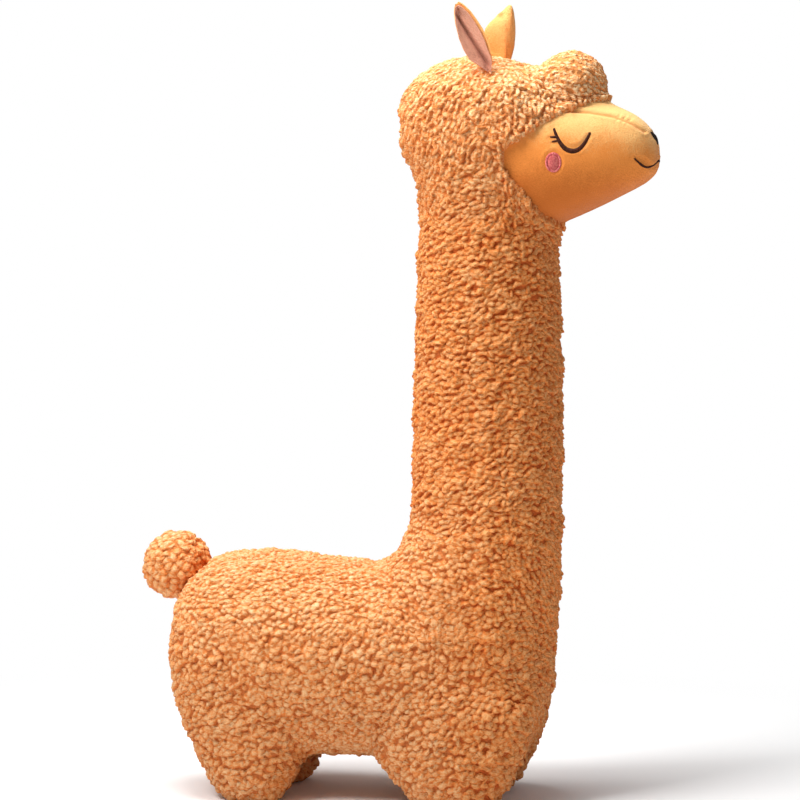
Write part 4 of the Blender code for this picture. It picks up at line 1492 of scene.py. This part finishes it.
@dataclass
class Embroidery:
    """Satin stitches laid side by side on the face cloth."""

    face: FaceCloth
    pitch: float = 0.00055
    thick: float = 0.00085
    slant: float = 0.30
    bend: float = 0.0035
    beside: float = 0.10
    before: float = 0.36
    lid_width: float = 0.0062
    lid_rise: float = 0.0015
    lid_fall: float = 0.0026
    lash_length: float = 0.0080
    lash_widths: tuple = (0.0032, 0.0022)
    lashes: tuple = ((4, 0.0002), (6, -0.0014))
    rim_width: float = 0.0022
    rim_lean: float = 0.06
    eye_lift: float = 0.0007
    cheek_lift: float = 0.0006
    rim_lift: float = 0.0009
    mouth_lift: float = 0.0006
    nose_lift: float = 0.0009
    mouth_width: float = 0.0030
    nose_share: float = 1.60
    tree: BVHTree | None = None

    def build(self) -> None:
        """Stitch the eyes, the cheeks, the mouth and the nose."""
        self.tree = surface_of(self.face.thing)
        dark = ThreadFinish("dark_thread", (0.040, 0.008, 0.004), (0.095, 0.024, 0.010)).make()
        black = ThreadFinish("nose_thread", (0.016, 0.009, 0.008), (0.040, 0.024, 0.020)).make()
        pink = ThreadFinish("cheek_thread", (0.68, 0.13, 0.13), (0.86, 0.25, 0.22), 0.6).make()
        pale = ThreadFinish("cheek_border_thread", (0.66, 0.11, 0.13), (0.90, 0.30, 0.28), 0.6).make()
        for name, side in (("left", 1.0), ("right", -1.0)):
            seen_as(self.eye("eye_" + name, side), dark, "dark_thread", "eye_" + name)
            patch, border = self.cheek(name, side)
            seen_as(patch, pink, "cheek_thread", "cheek_patch_" + name)
            seen_as(border, pale, "cheek_border_thread", "cheek_border_" + name)
        seen_as(self.mouth(), dark, "dark_thread", "mouth")
        seen_as(self.nose(), black, "nose_thread", "nose")

    def stitches(
        self, name: str, starts: np.ndarray, ends: np.ndarray, aim: np.ndarray, lift: float
    ) -> bpy.types.Object:
        """Lay one thread from each start to its end, bent onto the cloth.

        Args:
            name: The piece's name.
            starts: Where each thread goes in, on or before the cloth.
            ends: Where it comes out.
            aim: The direction in which the motif is pressed onto the cloth.
            lift: How high the threads stand in the middle.

        Returns:
            The piece.
        """
        reach = np.linalg.norm(ends - starts, axis=1)
        steps = max(3, min(9, int(math.ceil(float(reach.max()) / self.bend))))
        points, triangles = Thread(self.thick, steps).model()
        along = unit(ends - starts)
        across = unit(np.cross(np.tile(-aim, (len(starts), 1)), along))
        share = np.clip(points[:, 0], 0.0, 1.0)
        heights = np.tile(lift * np.sin(math.pi * share) ** 0.6 + points[:, 2], len(starts))
        level = starts[:, None, :] + along[:, None] * share[None, :, None] * reach[:, None, None]
        level = level + across[:, None] * points[None, :, 1:2]
        offsets = np.arange(len(starts))[:, None, None] * len(points)
        laid = self.lay(level.reshape(-1, 3), aim, heights)
        return mesh_of(name, laid, (triangles[None] + offsets).reshape(-1, 3))

    def lay(self, points: np.ndarray, aim: np.ndarray, heights: np.ndarray) -> np.ndarray:
        """Press points along a direction onto the cloth and lift each by its height.

        Args:
            points: Rows of x, y and z.
            aim: The direction.
            heights: How far each point ends above the cloth.

        Returns:
            The points on the cloth.
        """
        laid = points.copy()
        start = points - aim * 0.25
        direction = Vector(aim)
        for number, (spot, height) in enumerate(zip(start, heights)):
            place, normal, _, _ = self.tree.ray_cast(Vector(spot), direction)
            if place is None:
                place, normal, _, _ = self.tree.find_nearest(points[number])
            if normal.dot(direction) > 0.0:
                normal = -normal
            laid[number] = place + normal * float(height)
        return laid

    def ribbon(
        self, path: np.ndarray, widths: np.ndarray, flip: float
    ) -> tuple[np.ndarray, np.ndarray]:
        """Find the two ends of each satin stitch across a path in a plane.

        Args:
            path: Points of the path, as rows of its two plane coordinates.
            widths: The width of the line at each.
            flip: Which way the stitches slant.

        Returns:
            The ends on each side, as rows of two.
        """
        steps = np.linalg.norm(np.diff(path, axis=0), axis=1)
        run = np.concatenate([[0.0], np.cumsum(steps)])
        count = max(4, int(run[-1] / self.pitch))
        stations = np.linspace(0.0, run[-1], count)
        spots = np.stack([np.interp(stations, run, path[:, axis]) for axis in (0, 1)], axis=1)
        width = np.interp(stations, run, widths)
        heading = unit(np.gradient(spots, axis=0))
        across = unit(np.stack([-heading[:, 1], heading[:, 0]], axis=1) + flip * self.slant * heading)
        return spots - across * width[:, None] / 2.0, spots + across * width[:, None] / 2.0

    def sideways(
        self, name: str, side: float, starts: np.ndarray, ends: np.ndarray, lift: float
    ) -> bpy.types.Object:
        """Stitch a motif that is drawn in (x, z) onto one side of the face.

        Args:
            name: The piece's name.
            side: 1 on the left and -1 on the right.
            starts: Where each thread goes in, in the plane.
            ends: Where it comes out.
            lift: How high the threads stand in the middle.

        Returns:
            The piece.
        """
        depth = np.full(len(starts), side * self.beside)
        rows = [np.stack([plane[:, 0], depth, plane[:, 1]], axis=1) for plane in (starts, ends)]
        return self.stitches(name, *rows, np.array((0.0, -side, 0.0)), lift)

    def headon(self, name: str, starts: np.ndarray, ends: np.ndarray, lift: float) -> bpy.types.Object:
        """Stitch a motif that is drawn in (y, z) onto the tip of the snout.

        Args:
            name: The piece's name.
            starts: Where each thread goes in, in the plane.
            ends: Where it comes out.
            lift: How high the threads stand in the middle.

        Returns:
            The piece.
        """
        depth = np.full(len(starts), self.before)
        rows = [np.stack([depth, plane[:, 0], plane[:, 1]], axis=1) for plane in (starts, ends)]
        return self.stitches(name, *rows, np.array((-1.0, 0.0, 0.0)), lift)

    def eye(self, name: str, side: float) -> bpy.types.Object:
        """Stitch one sleeping eye: the lid's arc and two lashes at its back corner.

        Args:
            name: The CAD node's name.
            side: 1 on the left and -1 on the right.

        Returns:
            The piece.
        """
        low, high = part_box(name)
        back, front = low[0] + self.lash_length * 0.72, high[0]
        share = np.linspace(-1.0, 1.0, 41)
        drop = high[2] - low[2] - 0.004
        x = back + (front - back) * (share + 1.0) / 2.0
        z = high[2] - self.lid_rise - (1.0 - np.abs(share) ** 2.3) * drop - self.lid_fall * (share + 1.0)
        widths = self.lid_width * (0.50 + 0.50 * np.sin(math.pi * (share + 1.0) / 2.0))
        starts, ends = self.ribbon(np.stack([x, z], axis=1), widths, side)
        for index, fall in self.lashes:
            root = np.array((x[index], z[index]))
            line = root + np.linspace(0.0, 1.0, 9)[:, None] * np.array((-self.lash_length, fall))
            more, less = self.ribbon(line, np.linspace(*self.lash_widths, 9), side)
            starts = np.concatenate([starts, more])
            ends = np.concatenate([ends, less])
        return self.sideways(name + "_stitches", side, starts, ends, self.eye_lift)

    def cheek(self, name: str, side: float) -> tuple[bpy.types.Object, bpy.types.Object]:
        """Stitch one cheek: a pink disc in rows and a paler rim round it.

        Args:
            name: The side's name.
            side: 1 on the left and -1 on the right.

        Returns:
            The disc and the rim.
        """
        low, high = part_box("cheek_border_" + name)
        middle = np.array(((low[0] + high[0]) / 2.0, (low[2] + high[2]) / 2.0))
        half = np.array(((high[0] - low[0]) / 2.0, (high[2] - low[2]) / 2.0))
        inner = half - self.rim_width
        rows = np.arange(-inner[1] + self.pitch / 2.0, inner[1], self.pitch)
        reach = inner[0] * np.sqrt(1.0 - (rows / inner[1]) ** 2)
        starts = np.stack([middle[0] - reach, middle[1] + rows], axis=1)
        ends = np.stack([middle[0] + reach, middle[1] + rows + 0.0004], axis=1)
        patch = self.sideways("cheek_" + name, side, starts, ends, self.cheek_lift)
        count = int(2.0 * math.pi * half.mean() / self.pitch)
        turns = np.linspace(0.0, 2.0 * math.pi, count, endpoint=False)
        ring, lean = (
            np.stack([np.cos(angles), np.sin(angles)], axis=1) for angles in (turns, turns + self.rim_lean)
        )
        outer, within = middle + ring * (half + 0.0002), middle + lean * (inner - 0.0003)
        return patch, self.sideways("cheek_rim_" + name, side, outer, within, self.rim_lift)

    def mouth(self) -> bpy.types.Object:
        """Stitch the thin smile, two shallow curves that meet under the nose.

        Returns:
            The piece.
        """
        low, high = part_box("mouth")
        share = np.linspace(-1.0, 1.0, 61)
        smile = high[2] - low[2] - 0.0030
        z = high[2] - 0.0015 - smile * np.abs(np.sin(math.pi * np.abs(share) ** 1.7)) ** 0.85
        path = np.stack([share * (high[1] - low[1]) / 2.0 * 0.995, z], axis=1)
        widths = self.mouth_width * (0.62 + 0.38 * (1.0 - share ** 2))
        return self.headon("mouth_stitches", *self.ribbon(path, widths, 1.0), self.mouth_lift)

    def nose(self) -> bpy.types.Object:
        """Stitch the small dark nose in upright threads, wide above and rounded below.

        Returns:
            The piece.
        """
        low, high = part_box("nose")
        half = (high[1] - low[1]) / 2.0 * self.nose_share
        across = np.arange(-half + self.pitch / 2.0, half, self.pitch)
        tall = high[2] - low[2]
        foot = low[2] + tall * (1.0 - np.sqrt(np.maximum(1.0 - (across / half) ** 2, 0.0)))
        head = high[2] - 0.0012 * (across / half) ** 2
        starts = np.stack([across, foot], axis=1)
        ends = np.stack([across + 0.0002, head], axis=1)
        return self.headon("nose_stitches", starts, ends, self.nose_lift)


@dataclass(frozen=True)
class EarStance:
    """How one ear stands: its root and tip, how far its edges reach on both sides, and its folds."""

    root: tuple
    tip: tuple
    shares: tuple
    behind: tuple
    ahead: tuple
    crease: float
    dimple: float


@dataclass
class EarFrame:
    """One ear's own axes: from its root to its tip, across to the front, and out of its lining."""

    root: np.ndarray
    along: np.ndarray
    across: np.ndarray
    out: np.ndarray
    length: float

    @classmethod
    def read(cls, side: str) -> "EarFrame":
        """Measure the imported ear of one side.

        Args:
            side: The side's name.

        Returns:
            Its axes.
        """
        outer = points_of(frame_node("ear_outer_" + side).data)
        lining = points_of(frame_node("ear_lining_" + side).data)
        root = outer[outer[:, 2] < np.quantile(outer[:, 2], 0.08)].mean(axis=0)
        tip = outer[outer[:, 2].argmax()]
        return cls.between(root, tip, lining.mean(axis=0) - outer.mean(axis=0))

    @classmethod
    def between(cls, root: np.ndarray, tip: np.ndarray, facing: np.ndarray) -> "EarFrame":
        """Build the axes of an ear.

        Args:
            root: Its root.
            tip: Its tip.
            facing: The way that the lining faces.

        Returns:
            The axes.
        """
        length = float(np.linalg.norm(tip - root))
        along = (tip - root) / length
        out = unit((facing - along * facing.dot(along))[None])[0]
        across = np.cross(along, out)
        return cls(root, along, across * np.sign(across[0]), out, length)

    def local(self, points: np.ndarray) -> tuple[np.ndarray, np.ndarray, np.ndarray]:
        """Return points as their share of the length, their side and their rise."""
        offset = points - self.root
        return offset @ self.along / self.length, offset @ self.across, offset @ self.out

    def world(self, share: np.ndarray, side: np.ndarray, rise: np.ndarray) -> np.ndarray:
        """Return the points that have this share, side and rise."""
        moves = ((share * self.length, self.along), (side, self.across), (rise, self.out))
        return self.root + sum(row[:, None] * axis for row, axis in moves)


@dataclass
class Ears:
    """Both ears: a plush outer leaf sewn to a dusty pink lining, pinched at its root and creased."""

    outer: bpy.types.Material
    lining: bpy.types.Material
    near: EarStance = EarStance(
        root=(0.1310, -0.0690, 0.9030),
        tip=(0.0900, -0.0662, 0.9919),
        shares=(0.0, 0.08, 0.16, 0.25, 0.40, 0.56, 0.80, 0.93, 1.0),
        behind=(0.0010, 0.0065, 0.0112, 0.0170, 0.0185, 0.0178, 0.0140, 0.0092, 0.0035),
        ahead=(0.0010, 0.0065, 0.0104, 0.0128, 0.0160, 0.0165, 0.0140, 0.0102, 0.0035),
        crease=0.0054,
        dimple=0.0,
    )
    far: EarStance = EarStance(
        root=(0.1215, 0.0565, 0.9114),
        tip=(0.1349, 0.0587, 1.0010),
        shares=(0.0, 0.18, 0.40, 0.50, 0.66, 0.80, 0.94, 1.0),
        behind=(0.0040, 0.0170, 0.0270, 0.0285, 0.0268, 0.0205, 0.0100, 0.0030),
        ahead=(0.0040, 0.0120, 0.0147, 0.0145, 0.0137, 0.0115, 0.0080, 0.0030),
        crease=0.0010,
        dimple=0.0062,
    )
    rim: float = 0.28
    seat: float = 0.0006
    fold_place: float = 0.0012
    fold_lean: float = 0.0150
    fold_share: float = 0.21
    crease_width: float = 0.0022
    full_crease: float = 0.004
    puff_place: float = 0.0055
    puff_width: float = 0.0035
    ridge_place: float = 0.0040
    ridge_width: float = 0.0018
    dimple_share: float = 0.84
    dimple_place: float = 0.0085
    dimple_width: float = 0.0038
    passes: int = 5

    def edges(
        self, share: np.ndarray, side: np.ndarray
    ) -> tuple[np.ndarray, np.ndarray, np.ndarray]:
        """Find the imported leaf's edges at some stations of its length.

        Args:
            share: The share of the length of each of its points.
            side: How far each lies across.

        Returns:
            The stations, the middle and half the width at each.
        """
        stations = np.linspace(0.0, 1.0, 11)
        rows = [side[np.abs(share - station) < 0.08] for station in stations]
        low = np.polyval(np.polyfit(stations, [row.min() for row in rows], 4), stations)
        high = np.polyval(np.polyfit(stations, [row.max() for row in rows], 4), stations)
        return stations, (low + high) / 2.0, np.maximum((high - low) / 2.0, 0.003)

    def shaped(
        self, frame: EarFrame, stance: EarStance, points: np.ndarray, lining: bool
    ) -> tuple[np.ndarray, np.ndarray]:
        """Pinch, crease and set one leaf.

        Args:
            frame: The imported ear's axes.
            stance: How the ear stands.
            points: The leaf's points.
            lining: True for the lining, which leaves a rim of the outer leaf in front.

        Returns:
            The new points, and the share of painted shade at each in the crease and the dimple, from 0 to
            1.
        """
        share, side, rise = frame.local(points)
        stations, middles, halves = self.edges(share, side)
        half = np.interp(share, stations, halves)
        place = np.clip((side - np.interp(share, stations, middles)) / half, -1.0, 1.0)
        behind = np.interp(share, stance.shares, stance.behind)
        ahead = np.interp(share, stance.shares, stance.ahead)
        if lining:
            behind = behind * 0.99
            ahead = ahead * (1.0 - self.rim * eased(share, 0.05, 0.30))
        side = np.where(place < 0.0, place * behind, place * ahead)
        rise = rise * (0.30 + 0.70 * (behind + ahead) / 2.0 / half)
        fold = self.fold_place - self.fold_lean * (share - self.fold_share)
        held = eased(share, 0.04, 0.16) * (1.0 - eased(share, 0.82, 0.96))
        groove = hump(side - fold, self.crease_width)
        puff = hump(side - fold + self.puff_place, self.puff_width)
        ridge = hump(side - fold - self.ridge_place, self.ridge_width)
        rise = rise + held * stance.crease * (0.42 * puff + 0.28 * ridge - groove)
        dent = hump(share - self.dimple_share, 0.05) * hump(side + self.dimple_place, self.dimple_width)
        rise = rise + stance.dimple * dent + (self.seat if lining else 0.0)
        stood = EarFrame.between(np.array(stance.root), np.array(stance.tip), frame.out)
        # painted shade in the crease and the dimple
        shadow = held * groove * min(1.0, stance.crease / self.full_crease)
        shadow = shadow + dent * (0.8 if stance.dimple else 0.0)
        return stood.world(share, side, rise), shadow

    def build(self) -> None:
        """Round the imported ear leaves, shape and dress them."""
        finishes = (("outer", self.outer, "short_plush"), ("lining", self.lining, "ear_lining_plush"))
        for name, stance in (("left", self.far), ("right", self.near)):
            frame = EarFrame.read(name)
            for part, material, slot in finishes:
                node = "ear_" + part + "_" + name
                leaf = merged_copy(node, node + "_plush")
                subdivide(leaf)
                points, fold = self.shaped(frame, stance, points_of(leaf.data), part == "lining")
                move_points(leaf.data, points)
                # painted shade of the crease and the dimple
                store(leaf.data, "groove_and_painted_shade", fold)
                settle(leaf, self.passes)
                leaf.data.shade_smooth()
                seen_as(leaf, material, slot, node)


@dataclass(frozen=True)
class Lamp:
    """One square soft lamp: its name, place, side in metres and power in watts."""

    name: str
    place: tuple
    size: float
    power: float

    def build(self, aim: tuple) -> None:
        """Hang the lamp.

        Args:
            aim: The point that it faces.
        """
        data = bpy.data.lights.new(self.name, "AREA")
        data.size = self.size
        data.energy = self.power
        lamp = bpy.data.objects.new(self.name, data)
        lamp.location = self.place
        lamp.rotation_euler = (Vector(aim) - Vector(self.place)).to_track_quat("-Z", "Y").to_euler()
        bpy.context.scene.collection.objects.link(lamp)


@dataclass
class Studio:
    """The camera at the photograph's angle, the soft lamps and the floor."""

    azimuth: float = 12.0
    elevation: float = 2.0
    distance: float = 3.2
    lens: float = 114.0
    sensor: float = 36.0
    target: tuple = (0.004, 0.0, 0.5)
    lit_point: tuple = (0.0, 0.0, 0.55)
    left: Lamp = Lamp("lamp_left", (-1.00, -1.15, 2.25), 0.8, 42.0)
    above: Lamp = Lamp("lamp_above", (-0.25, -0.20, 2.55), 1.1, 50.0)
    world: float = 0.28
    white: tuple = (1.0, 1.0, 1.0, 1.0)
    floor_radius: float = 9.0

    def build(self) -> None:
        """Add the camera, the lamps, the world and the floor."""
        bpy.context.scene.view_settings.view_transform = "Standard"
        self.add_camera()
        for lamp in (self.left, self.above):
            lamp.build(self.lit_point)
        self.add_world()
        self.add_floor()

    def add_camera(self) -> None:
        """Add the camera and make it the scene's own."""
        turn = math.radians(self.azimuth)
        rise = math.radians(self.elevation)
        away = Vector((math.sin(turn) * math.cos(rise), -math.cos(turn) * math.cos(rise), math.sin(rise)))
        data = bpy.data.cameras.new("photo_camera")
        data.lens = self.lens
        data.sensor_width = self.sensor
        camera = bpy.data.objects.new("photo_camera", data)
        camera.location = Vector(self.target) + away * self.distance
        camera.rotation_euler = (-away).to_track_quat("-Z", "Y").to_euler()
        bpy.context.scene.collection.objects.link(camera)
        bpy.context.scene.camera = camera

    def add_world(self) -> None:
        """Light the scene evenly, and show white to the camera."""
        world = bpy.data.worlds.new("studio")
        world.use_nodes = True
        bpy.context.scene.world = world
        tree = world.node_tree
        base = tree.nodes["Background"]
        shown = tree.nodes.new("ShaderNodeBackground")
        for sky, strength in ((base, self.world), (shown, 1.0)):
            sky.inputs["Color"].default_value = self.white
            sky.inputs["Strength"].default_value = strength
        path = tree.nodes.new("ShaderNodeLightPath")
        mixed = tree.nodes.new("ShaderNodeMixShader")
        tree.links.new(path.outputs["Is Camera Ray"], mixed.inputs[0])
        tree.links.new(base.outputs[0], mixed.inputs[1])
        tree.links.new(shown.outputs[0], mixed.inputs[2])
        tree.links.new(mixed.outputs[0], tree.nodes["World Output"].inputs["Surface"])

    def add_floor(self) -> None:
        """Add the floor as a stage piece."""
        deselect()
        bpy.ops.mesh.primitive_circle_add(vertices=96, radius=self.floor_radius, fill_type="NGON")
        floor = bpy.context.object
        floor.name = "studio_floor"
        floor.data.materials.append(FloorFinish().make())


def main() -> None:
    """Load the frame and dress every part of the toy."""
    logging.basicConfig(level=logging.INFO, format="%(message)s")
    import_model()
    Studio().build()
    window = Window.read()
    skin = StuffedSkin("filling").build()
    cover = FleeceCover(skin, FleeceFinish().make())
    cover.build(window)
    TailBall(cover).build()
    face = FaceCloth(skin, ShortPlushFinish().make()).build(window)
    Embroidery(face).build()
    # painted light by height on both leaves of the ears, as on the face
    outer = ShortPlushFinish("ear_plush", low=0.5, high=1.16)
    lining = ShortPlushFinish(
        "ear_lining_plush",
        deep=(0.22, 0.055, 0.030),
        middle=(0.66, 0.295, 0.190),
        light=(0.86, 0.48, 0.34),
        low=0.80,
        high=1.06,
    )
    Ears(outer.make(), lining.make()).build()
    fibre = FibreFinish().make()
    for node in ("filling", "tail_filling"):
        frame_node(node).data.materials.clear()
        frame_node(node).data.materials.append(fibre)
    bpy.data.objects.remove(skin.thing, do_unlink=True)


if __name__ == "__main__":
    main()
